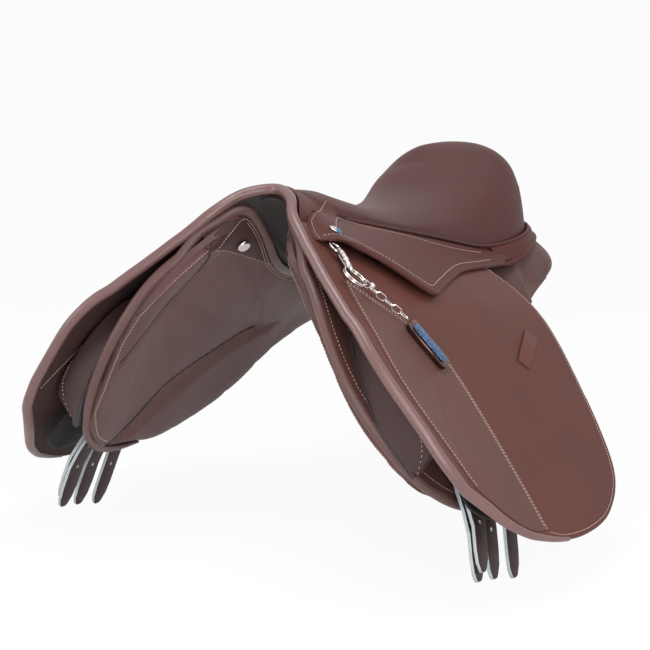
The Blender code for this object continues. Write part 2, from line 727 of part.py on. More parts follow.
def make_pocket(name, side):
    """Leather pocket on the panel's face for the tree's point, with its stud."""
    look = material("panel leather", SEAT_LEATHER, 0.5)
    rows = panel_grid()[POCKET_ROWS[0]:POCKET_ROWS[1] + 1]
    grid = [row[POCKET_COLS[0]:POCKET_COLS[1] + 1] for row in rows]
    pocket = layer(f"point_pocket_{name}", grid, lambda *p: panel_under(*p) - 2 * FIT,
                   lambda *p: panel_under(*p) - 2 * FIT - POCKET_THICK, side, look)
    steel = material("forged steel", STEEL, 0.35, 1.0)
    face = lambda *p: panel_under(*p) - 2 * FIT - POCKET_THICK
    spot, out = spot_on(grid, 1, 3, face, side)
    base = spot - out * 3 * FIT
    profile = [(0, 0), (STUD_RADIUS, 0), (STUD_RADIUS, 1.0), (STUD_RADIUS - 1.4, 2.4), (0, 2.4)]
    turned(f"pocket_stud_{name}", base, -out, profile, 16, steel)
    return pocket


# Stirrup bars

def make_stirrup_bar(name, side):
    """Forged bar: a leg from under the tree's edge, then the blade with its upturned tip."""
    look = material("forged steel", STEEL, 0.35, 1.0)
    u0, u1 = 44.0, 142.0
    low = lambda u, v: base_height(u, v) - FLAP_THICK / 2 - 2.5
    route = [(u1 + 8, 74, 1.5), (u1, 73, 0), (110, 70, 0), (75, 66, 0), (u0 + 8, 62, 0), (u0, 48, 0),
             (u0 + 3, 32, 0)]
    points = []
    for p in spline([Vector(p) for p in route], 16):
        points.append(side_point(p.x, p.y, low(p.x, p.y) + p.z, side))
    return tube(f"stirrup_bar_{name}", points, [BAR_RADIUS] * len(points), 8, look)


def skirt_grid():
    return coons(SKIRT_TOP, SKIRT_HEM, SKIRT_FRONT, SKIRT_REAR, 18, 7)


def make_nail(name, side):
    """Domed pommel nail at the front of the skirt."""
    look = material("enamelled metal", (0.10, 0.16, 0.24), 0.25, 0.6)
    spot, out = spot_on(skirt_grid(), 5, 1, skirt_top, side)
    profile = [(0, 0), (NAIL_RADIUS, 0), (NAIL_RADIUS, 0.8), (NAIL_RADIUS * 0.7, 2.2), (0, 2.9)]
    return turned(f"pommel_nail_{name}", spot + out * 2 * FIT, out, profile, 16, look, fold_pivot(side))


# Dees under the skirts, and the keyring charm on the near one

DEE_SPOT = (-35.0, 64.0)
RING_SPOT = (-63.0, 107.0)
CHAIN_FOOT = (-18.0, 164.0)
FOB_TOP = (-16.0, 170.0)
DEE_HEIGHT = 7.0                            # over the flap
RING_HEIGHT = 12.5
DEE_RADIUS = 9.0
CLIP_HALF_WIDTH = 8.2
CLIP_WIRE = 1.6
CLIP_PLAY = 4.9                             # clip's end past the rings that it holds
CLIP_TILT = math.radians(40)
LINK_SIZE = (6.4, 3.8)
LINK_WIRE = 0.9
LINKS = 6
BELL_OFFSET = 9.5
CHAPE = [((-24, 36), (-38, 55)), ((-12, 42), (-27, 61))]
FLAP_WIDTH = 335.0


def flap_face(u, v):
    """Height of the flap's upper face, with its share of the width taken straight across."""
    front = table([(p[1], p[0]) for p in FLAP_FRONT], v)
    return flap_top(u, v, max(0.0, (u - front) / FLAP_WIDTH), 0)


def flap_spot(u, v, over, side):
    return side_point(u, v, flap_face(u, v) + over, side)


def charm_axes(side):
    """Centres of dee and split ring, and the directions down the charm, across it and off the flap."""
    dee = flap_spot(*DEE_SPOT, DEE_HEIGHT, side)
    ring = flap_spot(*RING_SPOT, RING_HEIGHT, side)
    down = (ring - dee).normalized()
    across = down.cross(side_axes(side)[2]).normalized()
    return dee, ring, down, across, across.cross(down)


def oval(centre, along, across, size, count):
    """Points of an oval with straight sides, its long half along one direction."""
    straight = max(0.0, size[0] - size[1])
    cap = size[0] - straight
    points = []
    for i in range(count):
        a = math.tau * (i + 0.5) / count
        shift = math.copysign(straight, math.cos(a))
        points.append(centre + along * (shift + cap * math.cos(a)) + across * size[1] * math.sin(a))
    return points


def make_dee(name, side):
    """Dee on a leather chape, sewn to the flap under the skirt's front."""
    leather = material("flap leather", LEATHER, 0.42)
    layer(f"dee_chape_{name}", columns(CHAPE, 3, 3), lambda u, v, s, t: flap_face(u, v) + 3.0,
          lambda u, v, s, t: flap_face(u, v) + 1.2, side, leather, fold_pivot(side))
    steel = material("bright steel", (0.75, 0.74, 0.72), 0.15, 1.0)
    dee, _, down, across, _ = charm_axes(side)
    hoop = oval(dee, across, down, (DEE_RADIUS, DEE_RADIUS), 14)
    tube(f"dee_ring_{name}", hoop, [DEE_WIRE] * 14, 6, steel, dee - down * DEE_RADIUS, True)


def make_charm(side):
    """Spring clip, split ring, chain with a bell, and a bar fob with an inlay."""
    steel = material("bright steel", (0.75, 0.74, 0.72), 0.15, 1.0)
    dee, ring, down, across, out = charm_axes(side)
    upper, lower = dee + down * DEE_RADIUS, ring - down * RING_RADIUS
    width = across * math.cos(CLIP_TILT) + out * math.sin(CLIP_TILT)
    size = ((lower - upper).length / 2 + CLIP_PLAY, CLIP_HALF_WIDTH)
    clip = oval((upper + lower) / 2, down, width, size, 16)
    tube("charm_clip", clip, [CLIP_WIRE] * 16, 6, steel, upper, True)
    hoop = oval(ring, across, down, (RING_RADIUS, RING_RADIUS), 20)
    tube("charm_ring", hoop, [RING_WIRE] * 20, 6, steel, lower, True)
    make_chain(steel, side)
    make_fob(steel, side)


def make_chain(steel, side):
    """Chain of oval links, each turned a quarter from the last and fused where they touch."""
    _, ring, _, _, out = charm_axes(side)
    last = flap_spot(*CHAIN_FOOT, LINK_SIZE[1] + LINK_WIRE + 2 * FIT, side)
    toward = (last - ring).normalized()
    first = ring + (toward - out * toward.dot(out)).normalized() * RING_RADIUS
    step = (last - first) / (LINKS - 1)
    along = step.normalized()
    flat = along.cross(out).normalized()
    tall = flat.cross(along)
    links = []
    for i in range(LINKS):
        across = tall if i % 2 == 0 else flat
        ring = oval(first + step * i, along, across, LINK_SIZE, 10)
        links.append(tube(f"link_{i}", ring, [LINK_WIRE] * 10, 5, steel, first, True))
    chain = links[0]
    chain.name = "charm_chain"
    for other in links[1:]:
        union = chain.modifiers.new(other.name, "BOOLEAN")
        union.operation = "UNION"
        union.object = other
        other.hide_render = True
        other.display_type = "WIRE"
    bell = [(0, 0), (2.6, 0.8), (4.0, 3.2), (4.0, 4.8), (2.6, 7.2), (0, 8)]
    turned("charm_bell", first + step - flat * BELL_OFFSET - tall * 4, tall, bell, 10, steel, first)


def make_fob(steel, side):
    """Bar fob hanging over the flap, with an inlay on its outer face."""
    ahead, down, out = side_axes(side)
    along = (ahead * 0.29 + down).normalized()
    across = out.cross(along)
    start = flap_spot(*FOB_TOP, FIT + 2.5, side)
    half = FOB_WIDTH / 2

    def slab(name, first, last, reach, low, high, look):
        rows = [first, first + 4, (first + last) / 2, last - 4, last]
        ends = [0.7, 1.0, 1.0, 1.0, 0.7]
        grids = []
        for height in (high, low):
            grids.append([[start + along * r + across * reach * e * k + out * height for k in (-1, 0, 1)]
                          for r, e in zip(rows, ends)])
        between(name, *grids, look, start)

    slab("charm_fob", 3, 3 + FOB_LENGTH, half, 0, FOB_THICK, steel)
    blue = material("blue inlay", (0.02, 0.06, 0.14), 0.3, 0.2)
    slab("charm_inlay", 9, FOB_LENGTH - 3, half - 3, FOB_THICK + FIT, FOB_THICK + FIT + 1.2, blue)


def main():
    for obj in list(bpy.data.objects):
        bpy.data.objects.remove(obj)
    make_seat()
    make_seat_webs()
    make_welt()
    make_cantle_skirt()
    make_pommel()
    make_gullet()
    for name, side in SIDES:
        make_panel(name, side)
        make_pocket(name, side)
        make_sweat_flap(name, side)
        make_webs(name, side)
        for strap in STRAPS:
            make_strap(name, side, *strap)
        make_guard(name, side)
        make_block_base(name, side)
        make_knee_block(name, side)
        make_stirrup_bar(name, side)
        make_flap(name, side)
        make_flap_roll(name, side)
        make_keeper(name, side)
        make_skirt(name, side)
        make_nail(name, side)
        make_dee(name, side)
    make_charm(1)


main()
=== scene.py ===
"""An English saddle in brown leather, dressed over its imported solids."""
import json
import math

import bmesh
import bpy
import numpy
from mathutils import Matrix, Vector
from mathutils.bvhtree import BVHTree
from mathutils.kdtree import KDTree


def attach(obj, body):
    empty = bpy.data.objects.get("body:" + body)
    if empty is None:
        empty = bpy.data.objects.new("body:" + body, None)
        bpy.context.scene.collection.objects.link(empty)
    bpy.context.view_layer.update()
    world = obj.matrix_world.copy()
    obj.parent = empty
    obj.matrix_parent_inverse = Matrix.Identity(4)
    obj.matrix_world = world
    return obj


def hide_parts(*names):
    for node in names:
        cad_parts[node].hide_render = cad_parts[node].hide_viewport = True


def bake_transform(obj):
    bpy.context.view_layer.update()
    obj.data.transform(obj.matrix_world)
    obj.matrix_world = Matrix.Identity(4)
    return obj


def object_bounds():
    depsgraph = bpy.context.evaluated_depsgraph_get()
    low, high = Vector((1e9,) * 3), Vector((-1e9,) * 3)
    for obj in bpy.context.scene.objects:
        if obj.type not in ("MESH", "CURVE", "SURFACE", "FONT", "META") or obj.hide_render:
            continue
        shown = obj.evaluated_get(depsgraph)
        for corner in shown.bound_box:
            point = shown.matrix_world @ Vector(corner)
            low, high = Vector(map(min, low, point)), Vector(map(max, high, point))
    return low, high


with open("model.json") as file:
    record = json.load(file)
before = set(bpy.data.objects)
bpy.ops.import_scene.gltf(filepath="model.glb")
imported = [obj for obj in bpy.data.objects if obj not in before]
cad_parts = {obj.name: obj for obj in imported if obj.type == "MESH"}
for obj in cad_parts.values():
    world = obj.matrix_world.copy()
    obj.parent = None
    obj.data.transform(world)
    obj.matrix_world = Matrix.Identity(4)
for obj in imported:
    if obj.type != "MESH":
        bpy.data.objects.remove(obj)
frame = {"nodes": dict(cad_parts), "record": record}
solid_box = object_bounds()
home = {}
for body, nodes in frame["record"]["behaviour"]["bodies"].items():
    for node in nodes:
        home[node] = body


# Studio. The saddle hangs just clear of a pale floor under four soft lamps and a white sky.
# The camera stands where the photograph was taken from, a long lens a little over two metres off.
class Wire:
    """A socket of a material's tree: sums and products of wires add its Math nodes."""

    def __init__(self, tree, socket):
        self.tree = tree
        self.socket = socket

    def add(self, kind, settings, feeds, out=0):
        node = self.tree.nodes.new(kind)
        for key, value in settings.items():
            setattr(node, key, value)
        for key, value in feeds.items():
            if isinstance(value, Wire):
                self.tree.links.new(value.socket, node.inputs[key])
            else:
                node.inputs[key].default_value = value
        return Wire(self.tree, node.outputs[out])

    def sum(self, operation, a, b):
        return self.add("ShaderNodeMath", {"operation": operation}, {0: a, 1: b})

    def __add__(self, other):
        return self.sum("ADD", self, other)

    __radd__ = __add__

    def __sub__(self, other):
        return self.sum("SUBTRACT", self, other)

    def __rsub__(self, other):
        return self.sum("SUBTRACT", other, self)

    def __mul__(self, other):
        return self.sum("MULTIPLY", self, other)

    __rmul__ = __mul__

    def between(self, low, high):
        """Ramp this value from 0 at low to 1 at high."""
        return self.add("ShaderNodeMapRange", {"interpolation_type": "SMOOTHSTEP"},
                        {0: self, 1: low, 2: high})

    def blend(self, first, second):
        """Colour that goes from the first to the second as this value rises."""
        return self.add("ShaderNodeMix", {"data_type": "RGBA"}, {0: self, 6: first, 7: second}, 2)


def paint(name):
    """New material: itself, its shader node and a wire of the piece's own coordinates."""
    made = bpy.data.materials.new(name)
    made.use_nodes = True
    tree = made.node_tree
    spot = Wire(tree, tree.nodes.new("ShaderNodeTexCoord").outputs["Object"])
    return made, tree.nodes["Principled BSDF"], spot


def feed(shader, socket, wire):
    wire.tree.links.new(wire.socket, shader.inputs[socket])


def lin(red, green, blue):
    """Linear colour from a colour as it is seen, 0 to 255."""
    parts = [c / 255 for c in (red, green, blue)]
    return tuple(c / 12.92 if c < 0.04045 else ((c + 0.055) / 1.055) ** 2.4 for c in parts) + (1,)


bpy.ops.object.select_all(action="DESELECT")
floor_z = solid_box[0][2] - 0.002
bpy.ops.mesh.primitive_plane_add(size=90, location=(0, 0, floor_z))
floor = bpy.context.object
floor.name = "studio_floor"
bpy.ops.object.transform_apply(location=True, rotation=True, scale=True)
floor_paint, shader, spot = paint("studio paper")
speckle = spot.add("ShaderNodeTexNoise", {}, {"Vector": spot, "Scale": 40.0})
feed(shader, "Base Color", speckle.blend(lin(250, 250, 250), lin(255, 255, 255)))
shader.inputs["Roughness"].default_value = 0.9
glow = spot.add("ShaderNodeEmission", {}, {"Color": (1, 1, 1, 1), "Strength": 1.0})
seen = spot.add("ShaderNodeLightPath", {}, {}, "Is Camera Ray")
mirrored = spot.add("ShaderNodeLightPath", {}, {}, "Is Glossy Ray")
share = seen * 0.94 + mirrored * 0.8
both = spot.add("ShaderNodeMixShader", {}, {0: share, 1: Wire(spot.tree, shader.outputs[0]), 2: glow})
spot.tree.links.new(both.socket, spot.tree.nodes["Material Output"].inputs["Surface"])
floor.data.materials.append(floor_paint)

world = bpy.data.worlds.new("studio sky")
bpy.context.scene.world = world
world.use_nodes = True
sky = world.node_tree.nodes["Background"]
path = world.node_tree.nodes.new("ShaderNodeLightPath")
level = Wire(world.node_tree, path.outputs["Is Camera Ray"])
for name in ("Is Glossy Ray", "Is Transmission Ray"):
    level = level + Wire(world.node_tree, path.outputs[name])
level = level.between(0.0, 1.0) * 0.7 + 0.3
world.node_tree.links.new(level.socket, sky.inputs["Strength"])
sky.inputs["Color"].default_value = (1, 1, 1, 1)


def soft_lamp(name, place, aim, size, watts):
    bpy.ops.object.light_add(type="AREA", location=place)
    lamp = bpy.context.object
    lamp.name = name
    lamp.data.shape = "DISK"
    lamp.data.size = size
    lamp.data.energy = watts
    lamp.rotation_euler = (Vector(aim) - Vector(place)).to_track_quat("-Z", "Y").to_euler()


soft_lamp("lamp_above", (0.2, -0.4, 1.9), (0, 0, 0), 1.2, 26)
soft_lamp("lamp_near_side", (1.9, -1.2, 0.9), (0, 0, 0), 1.0, 16)
soft_lamp("lamp_off_side", (-1.5, -1.7, 0.5), (0, -0.1, -0.05), 1.0, 14)
soft_lamp("lamp_low", (0.9, -1.3, -0.16), (-0.1, -0.1, -0.05), 0.8, 11)

turn, rise, far = math.radians(30.99), math.radians(10.67), 2.11111
back = Vector((math.sin(turn) * math.cos(rise), -math.cos(turn) * math.cos(rise), math.sin(rise)))
bpy.ops.object.camera_add(location=Vector((0.06129, -0.176305, -0.03868)) + back * far)
camera = bpy.context.object
camera.rotation_euler = back.to_track_quat("Z", "Y").to_euler()
camera.data.sensor_width = 36
camera.data.lens = 36 * 1900 / 650
bpy.context.scene.camera = camera
bpy.context.scene.view_settings.view_transform = "Standard"


# Tree, head plate, seat webs and stirrup bars: laminated beech with forged steel let into it, and
# strained webbing. They are inside the saddle and show only from below.
def wood(name):
    made, shader, spot = paint(name)
    rings = spot.add("ShaderNodeTexWave", {"bands_direction": "Z"},
                     {"Vector": spot, "Scale": 120.0, "Distortion": 3.0, "Detail": 3.0})
    feed(shader, "Base Color", rings.blend(lin(150, 112, 72), lin(178, 140, 98)))
    feed(shader, "Roughness", rings * 0.15 + 0.45)
    return made


def bright_metal(name, colour, dull, scratch):
    """Plated or forged metal with fine scratches and slight smears."""
    made, shader, spot = paint(name)
    fine = spot.add("ShaderNodeTexNoise", {}, {"Vector": spot, "Scale": 900.0, "Detail": 3.0})
    smear = spot.add("ShaderNodeTexNoise", {}, {"Vector": spot, "Scale": 120.0, "Detail": 2.0})
    feed(shader, "Base Color", smear.blend(tuple(c * 0.9 for c in colour[:3]) + (1,), colour))
    feed(shader, "Roughness", smear * 0.12 + dull)
    shader.inputs["Metallic"].default_value = 1.0
    feed(shader, "Normal", spot.add("ShaderNodeBump", {}, {"Strength": scratch, "Distance": 0.0002,
                                                          "Height": fine}))
    return made


def webbing(name, pale, dark):
    made, shader, spot = paint(name)
    weave = spot.add("ShaderNodeTexWave", {"bands_direction": "Y"}, {"Vector": spot, "Scale": 260.0})
    cross = spot.add("ShaderNodeTexWave", {"bands_direction": "Z"}, {"Vector": spot, "Scale": 260.0})
    thread = weave * cross
    feed(shader, "Base Color", thread.blend(dark, pale))
    feed(shader, "Roughness", thread * 0.1 + 0.8)
    feed(shader, "Normal", spot.add("ShaderNodeBump", {}, {"Strength": 0.5, "Distance": 0.0006,
                                                          "Height": thread}))
    return made


def dress(node, made):
    """Give a solid that stays in sight its finish."""
    frame["nodes"][node].data.materials.clear()
    frame["nodes"][node].data.materials.append(made)


forged = bright_metal("forged steel", lin(170, 168, 165), 0.32, 0.3)
girth_webbing = webbing("undyed webbing", lin(190, 178, 150), lin(140, 128, 104))
dress("tree", wood("laminated beech"))
dress("head_plate", forged)
for name in ("left", "right"):
    dress(f"seat_web_{name}", girth_webbing)
    dress(f"girth_web_front_{name}", girth_webbing)
    dress(f"girth_web_rear_{name}", girth_webbing)


def pick(piece):
    """Select one piece and nothing else."""
    if bpy.context.object and bpy.context.object.mode != "OBJECT":
        bpy.ops.object.mode_set(mode="OBJECT")
    bpy.ops.object.select_all(action="DESELECT")
    piece.select_set(True)
    bpy.context.view_layer.objects.active = piece


def round_off(piece, levels):
    """Subdivide the piece into a smooth skin."""
    pick(piece)
    smooth = piece.modifiers.new("round", "SUBSURF")
    smooth.levels = levels
    smooth.render_levels = levels
    bpy.ops.object.modifier_apply(modifier=smooth.name)


def ease_edges(piece, width, segments=2):
    """Round the sharp edges of a rigid or cut piece."""
    pick(piece)
    edge = piece.modifiers.new("edge", "BEVEL")
    edge.width = width
    edge.segments = segments
    edge.limit_method = "ANGLE"
    edge.angle_limit = math.radians(38)
    bpy.ops.object.modifier_apply(modifier=edge.name)


def skin_of(node, name, levels, hold=0.8):
    """Copy of a solid's mesh, merged into quads and subdivided, its sharp edges held by a crease."""
    piece = bpy.data.objects.new(name, frame["nodes"][node].data.copy())
    bpy.context.scene.collection.objects.link(piece)
    pick(piece)
    piece.data.materials.clear()
    bpy.ops.object.mode_set(mode="EDIT")
    bpy.ops.mesh.select_all(action="SELECT")
    bpy.ops.mesh.customdata_custom_splitnormals_clear()
    bpy.ops.mesh.remove_doubles(threshold=0.00002)
    bpy.ops.mesh.tris_convert_to_quads(face_threshold=math.radians(60), shape_threshold=math.radians(80))
    bpy.ops.mesh.mark_sharp(clear=True)
    bpy.ops.object.mode_set(mode="OBJECT")
    bpy.ops.object.shade_smooth()
    if levels:
        work = bmesh.new()
        work.from_mesh(piece.data)
        crease = work.edges.layers.float.new("crease_edge")
        for edge in work.edges:
            if edge.is_manifold and edge.calc_face_angle() > math.radians(42):
                edge[crease] = hold
        work.to_mesh(piece.data)
        work.free()
        round_off(piece, levels)
    return piece


def stand_in(piece, nodes, body=""):
    """The piece takes the place of its solids and moves with their body."""
    if nodes:
        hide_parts(*nodes)
    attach(piece, body or home[nodes[0]])


def opposite(piece):
    """The off side's twin of a finished near side piece, with its own mirrored mesh."""
    twin = bpy.data.objects.new(piece.name.replace("left", "right"), piece.data.copy())
    bpy.context.scene.collection.objects.link(twin)
    twin.data.transform(Matrix.Scale(-1, 4, (1, 0, 0)))
    twin.data.flip_normals()
    return twin


def both_sides(piece, nodes, body=""):
    """Fit a near side piece and its twin opposite."""
    twin = opposite(piece)
    stand_in(piece, nodes, body)
    stand_in(twin, [n.replace("left", "right") for n in nodes], body.replace("left", "right"))


bar = skin_of("stirrup_bar_left", "bar_left", 2)
bar.data.materials.append(forged)
both_sides(bar, ["stirrup_bar_left"])


# Gullet lining: soft dark leather in the arch between the panels, stretched over the tree and
# nailed under the pommel roll.
def leather(name, colour, grain, depth, dull, worn, shine=0.22):
    """Dyed leather: pebbled or smooth grain, cloudy dye, and edges rubbed paler."""
    made, shader, spot = paint(name)
    cloud = spot.add("ShaderNodeTexNoise", {}, {"Vector": spot, "Scale": 14.0, "Detail": 5.0})
    pores = spot.add("ShaderNodeTexVoronoi", {"feature": "SMOOTH_F1"}, {"Vector": spot, "Scale": grain})
    crease = spot.add("ShaderNodeTexNoise", {}, {"Vector": spot, "Scale": grain * 0.35, "Detail": 4.0})
    edge = spot.add("ShaderNodeNewGeometry", {}, {}, "Pointiness").between(0.53, 0.62)
    dark = tuple(c * 0.84 for c in colour[:3]) + (1,)
    pale = tuple(min(1, c * worn + 0.004) for c in colour[:3]) + (1,)
    dyed = (cloud.between(0.3, 0.7) * 0.7 + pores * 0.25).blend(dark, colour)
    feed(shader, "Base Color", (edge * 0.6).blend(dyed, pale))
    feed(shader, "Roughness", cloud * 0.14 + (pores * -0.08 + dull))
    height = pores * 0.7 + crease * 0.6
    feed(shader, "Normal", spot.add("ShaderNodeBump", {}, {"Strength": depth, "Distance": 0.0006,
                                                          "Height": height}))
    shader.inputs["Specular IOR Level"].default_value = shine
    return made


# The dark lining leather is real lining here, and is also laid on as painted shade in the panel seams and the
# keeper's slot.
lining_and_shade_leather = leather("dark lining and shade leather", lin(50, 43, 43), 700.0, 0.5, 0.62, 1.2)
def pommel_spot(x, y, z):
    """Spot in mm from the top of the pommel."""
    return Vector((x, y - 180, z + 112)) * 0.001


def run(points, step):
    """Even spots, about a step apart, along a smooth line through a few points."""
    points = [Vector(p) for p in points]
    ends = [points[0] * 2 - points[1]] + points + [points[-1] * 2 - points[-2]]
    fine = []
    for a, b, c, d in zip(ends, ends[1:], ends[2:], ends[3:]):
        for k in range(24):
            t = k / 24
            fine.append((b * 2 + (c - a) * t + (a * 2 - b * 5 + c * 4 - d) * t * t
                         + (b * 3 - a - c * 3 + d) * t ** 3) * 0.5)
    fine.append(points[-1])
    reach = [0.0]
    for a, b in zip(fine, fine[1:]):
        reach.append(reach[-1] + (b - a).length)
    count = max(2, round(reach[-1] / step))
    spots = []
    k = 0
    for i in range(count + 1):
        want = reach[-1] * i / count
        while k < len(fine) - 2 and reach[k + 1] < want:
            k += 1
        share = (want - reach[k]) / max(1e-9, reach[k + 1] - reach[k])
        spots.append(fine[k].lerp(fine[k + 1], share))
    return spots


def along(points, value):
    """Second figure of a list of pairs where its first one passes a value."""
    for (a, first), (b, second) in zip(points, points[1:]):
        if value <= b:
            return first + (second - first) * max(0.0, value - a) / (b - a)
    return points[-1][1]


def sheet_of(name, rows, thick, facing=None):
    """A thin sheet over rows of spots, its thickness on the side away from its faces."""
    across = len(rows[0])
    faces = []
    for j in range(len(rows) - 1):
        for i in range(across - 1):
            k = j * across + i
            faces.append((k, k + 1, k + across + 1, k + across))
    mesh = bpy.data.meshes.new(name)
    mesh.from_pydata([spot for row in rows for spot in row], [], faces)
    if facing and mesh.polygons[len(faces) // 2].normal.dot(facing) < 0:
        mesh.flip_normals()
    mesh.shade_smooth()
    piece = bpy.data.objects.new(name, mesh)
    bpy.context.scene.collection.objects.link(piece)
    pick(piece)
    wall = piece.modifiers.new("thickness", "SOLIDIFY")
    wall.thickness = thick
    wall.offset = -1
    wall.material_offset = 1
    bpy.ops.object.modifier_apply(modifier=wall.name)
    return piece


lining = skin_of("gullet_lining", "lining", 2)
arch_crown = [(-8, -14), (8, -29), (20, -42), (50, -68), (92, -84)]
for vertex in lining.data.vertices:
    x, y, z = vertex.co.x * 1000, vertex.co.y * 1000 + 180, vertex.co.z * 1000 - 112
    below = along(arch_crown, y) - z - 14
    if below > 0:
        vertex.co = pommel_spot(x + math.copysign(below * 0.85, x), y, z + below * 0.7)
lining.data.materials.append(lining_and_shade_leather)
stand_in(lining, ["gullet_lining"])
arch_front = run([(-47, -41, -27), (-31, -17, -13), (0, 1, -8), (31, -17, -13), (47, -41, -27)], 4)
arch_rim = run([(-50, -6, -37), (-30, -6, -30), (-16, -7, -18), (0, -7, -14), (16, -7, -18), (30, -6, -30),
                (50, -6, -37)], 4)
rows = []
for j in range(7):
    row = []
    for i, spot in enumerate(arch_front):
        other = arch_rim[round(i * (len(arch_rim) - 1) / (len(arch_front) - 1))]
        row.append(pommel_spot(*spot.lerp(other, j / 6)))
    rows.append(row)
arch_sheet = sheet_of("arch_sheet", rows, 0.001)
arch_sheet.data.materials.append(lining_and_shade_leather)
arch_sheet.data.materials.append(lining_and_shade_leather)
stand_in(arch_sheet, [], "saddle")


# Panels: two long cushions of flock in grained leather that rest on the horse's back, with a wedge
# let in at the front and a shaped seam at the rear. The tree points go into a pocket sewn on each,
# closed by a plain round stud.
SLOPE = math.radians(52.3)


def side_spot(u, v, h, side=1):
    """Spot on a side of the saddle in mm: u runs back, v down the flap's slope and h out from it."""
    x = 67.8 + v * math.cos(SLOPE) + h * math.sin(SLOPE)
    z = h * math.cos(SLOPE) - v * math.sin(SLOPE)
    return Vector((side * x, u - 180, z + 112)) * 0.001


def reshape(piece, move):
    """Shift the corners of a near side piece by their (u, v, h) in mm and whether they face the horse."""
    turned = [v.normal.dot(Vector((math.sin(SLOPE), 0, math.cos(SLOPE)))) < 0 for v in piece.data.vertices]
    for vertex, under in zip(piece.data.vertices, turned):
        x, z = vertex.co.x * 1000 - 67.8, vertex.co.z * 1000 - 112
        v, h = x * math.cos(SLOPE) - z * math.sin(SLOPE), x * math.sin(SLOPE) + z * math.cos(SLOPE)
        vertex.co = side_spot(*move(vertex.co.y * 1000 + 180, v, h, under))


def beside(points, gap):
    """The same (u, v) line moved sideways by a gap."""
    line = run(points, 6)
    moved = []
    for i, p in enumerate(line):
        along = (line[min(i + 1, len(line) - 1)] - line[max(i - 1, 0)]).normalized()
        moved.append(p + Vector((-along.y, along.x)) * gap)
    return moved


def faces_of(mesh):
    """A tree of a mesh's faces, for rays."""
    return BVHTree.FromPolygons([v.co for v in mesh.vertices], [p.vertices for p in mesh.polygons])


def laid(tree, points, under=False):
    """Where (u, v) points of the near side lie on a piece, from outside or from beneath, and its facing."""
    out = Vector((math.sin(SLOPE), 0, math.cos(SLOPE))) * (-1 if under else 1)
    found = []
    for u, v in points:
        spot, facing, index, distance = tree.ray_cast(side_spot(u, v, 0) + out * 0.2, -out)
        if spot:
            found.append((spot, facing if facing.dot(out) > 0 else -facing))
    return found


def slope_of(spot):
    """The (u, v, h) in mm of a near side spot."""
    x, z = spot.x * 1000 - 67.8, spot.z * 1000 - 112
    v, h = x * math.cos(SLOPE) - z * math.sin(SLOPE), x * math.sin(SLOPE) + z * math.cos(SLOPE)
    return Vector((spot.y * 1000 + 180, v, h))


def drawn_over(name, top, foot, trees, lift, thick, deep, under=False):
    """Leather drawn tight from one (u, v, h) line to another, held clear of the pieces beneath it."""
    sign = -1 if under else 1
    wide = len(top) - 1
    plan, height, floor = {}, {}, {}
    for i in range(wide + 1):
        end = foot[round(i * (len(foot) - 1) / wide)]
        for j in range(deep + 1):
            spot = top[i].lerp(end, j / deep)
            plan[i, j] = spot
            height[i, j] = spot.z * sign
            hits = [slope_of(hit[0]).z * sign for tree in trees for hit in laid(tree, [spot.xy], under)]
            floor[i, j] = max(hits) + lift if hits else -999.0
            if 0 < j < deep:
                height[i, j] = max(height[i, j], floor[i, j])
    for turn_number in range(120):
        for i in range(wide + 1):
            for j in range(1, deep):
                near = [height[k, m] for k, m in ((i - 1, j), (i + 1, j), (i, j - 1), (i, j + 1)) if (k, m) in height]
                height[i, j] = max(floor[i, j], sum(near) / len(near))
    rows = []
    for j in range(deep + 1):
        rows.append([side_spot(plan[i, j].x, plan[i, j].y, height[i, j] * sign) for i in range(wide + 1)])
    return sheet_of(name, rows, thick, Vector((math.sin(SLOPE), 0, math.cos(SLOPE))) * sign)


def stuff(piece, seams, proud, snug):
    """Blow a cover out round its stuffing: pinned at its seams, no further than proud, or snug outside."""
    rest = [v.co.copy() for v in piece.data.vertices]
    facings = [v.normal.copy() for v in piece.data.vertices]
    sewn = piece.vertex_groups.new(name="sewn")
    lines = KDTree(len(seams))
    for k, spot in enumerate(seams):
        lines.insert(spot, k)
    lines.balance()
    sewn.add([i for i, co in enumerate(rest) if lines.find(co)[2] < 0.004], 1.0, "REPLACE")
    pick(piece)
    cloth = piece.modifiers.new("stuffing", "CLOTH")
    cloth.settings.quality = 4
    cloth.settings.use_pressure = True
    cloth.settings.uniform_pressure_force = 4.0
    cloth.settings.effector_weights.gravity = 0
    cloth.settings.vertex_group_mass = "sewn"
    cloth.settings.tension_stiffness = 12
    cloth.settings.compression_stiffness = 12
    cloth.collision_settings.use_collision = False
    cloth.point_cache.frame_start = 1
    cloth.point_cache.frame_end = 20
    for number in range(1, 21):
        bpy.context.scene.frame_set(number)
    bpy.ops.object.modifier_apply(modifier=cloth.name)
    bpy.context.scene.frame_set(1)
    piece.vertex_groups.clear()
    out = Vector((math.sin(SLOPE), 0, math.cos(SLOPE)))
    for vertex, start, facing in zip(piece.data.vertices, rest, facings):
        cap = snug if facing.dot(out) > 0.1 else proud
        move = vertex.co - start
        if move.length > cap:
            vertex.co = start + move * (cap / move.length)


def press(piece, spots, width, depth):
    """Draw a piece in along a line of spots, as its thread does."""
    line = KDTree(len(spots))
    for k, spot in enumerate(spots):
        line.insert(spot, k)
    line.balance()
    facings = [v.normal.copy() for v in piece.data.vertices]
    for vertex, facing in zip(piece.data.vertices, facings):
        away = line.find(vertex.co)[2]
        if away < width:
            vertex.co -= facing * depth * (0.5 + 0.5 * math.cos(math.pi * away / width))


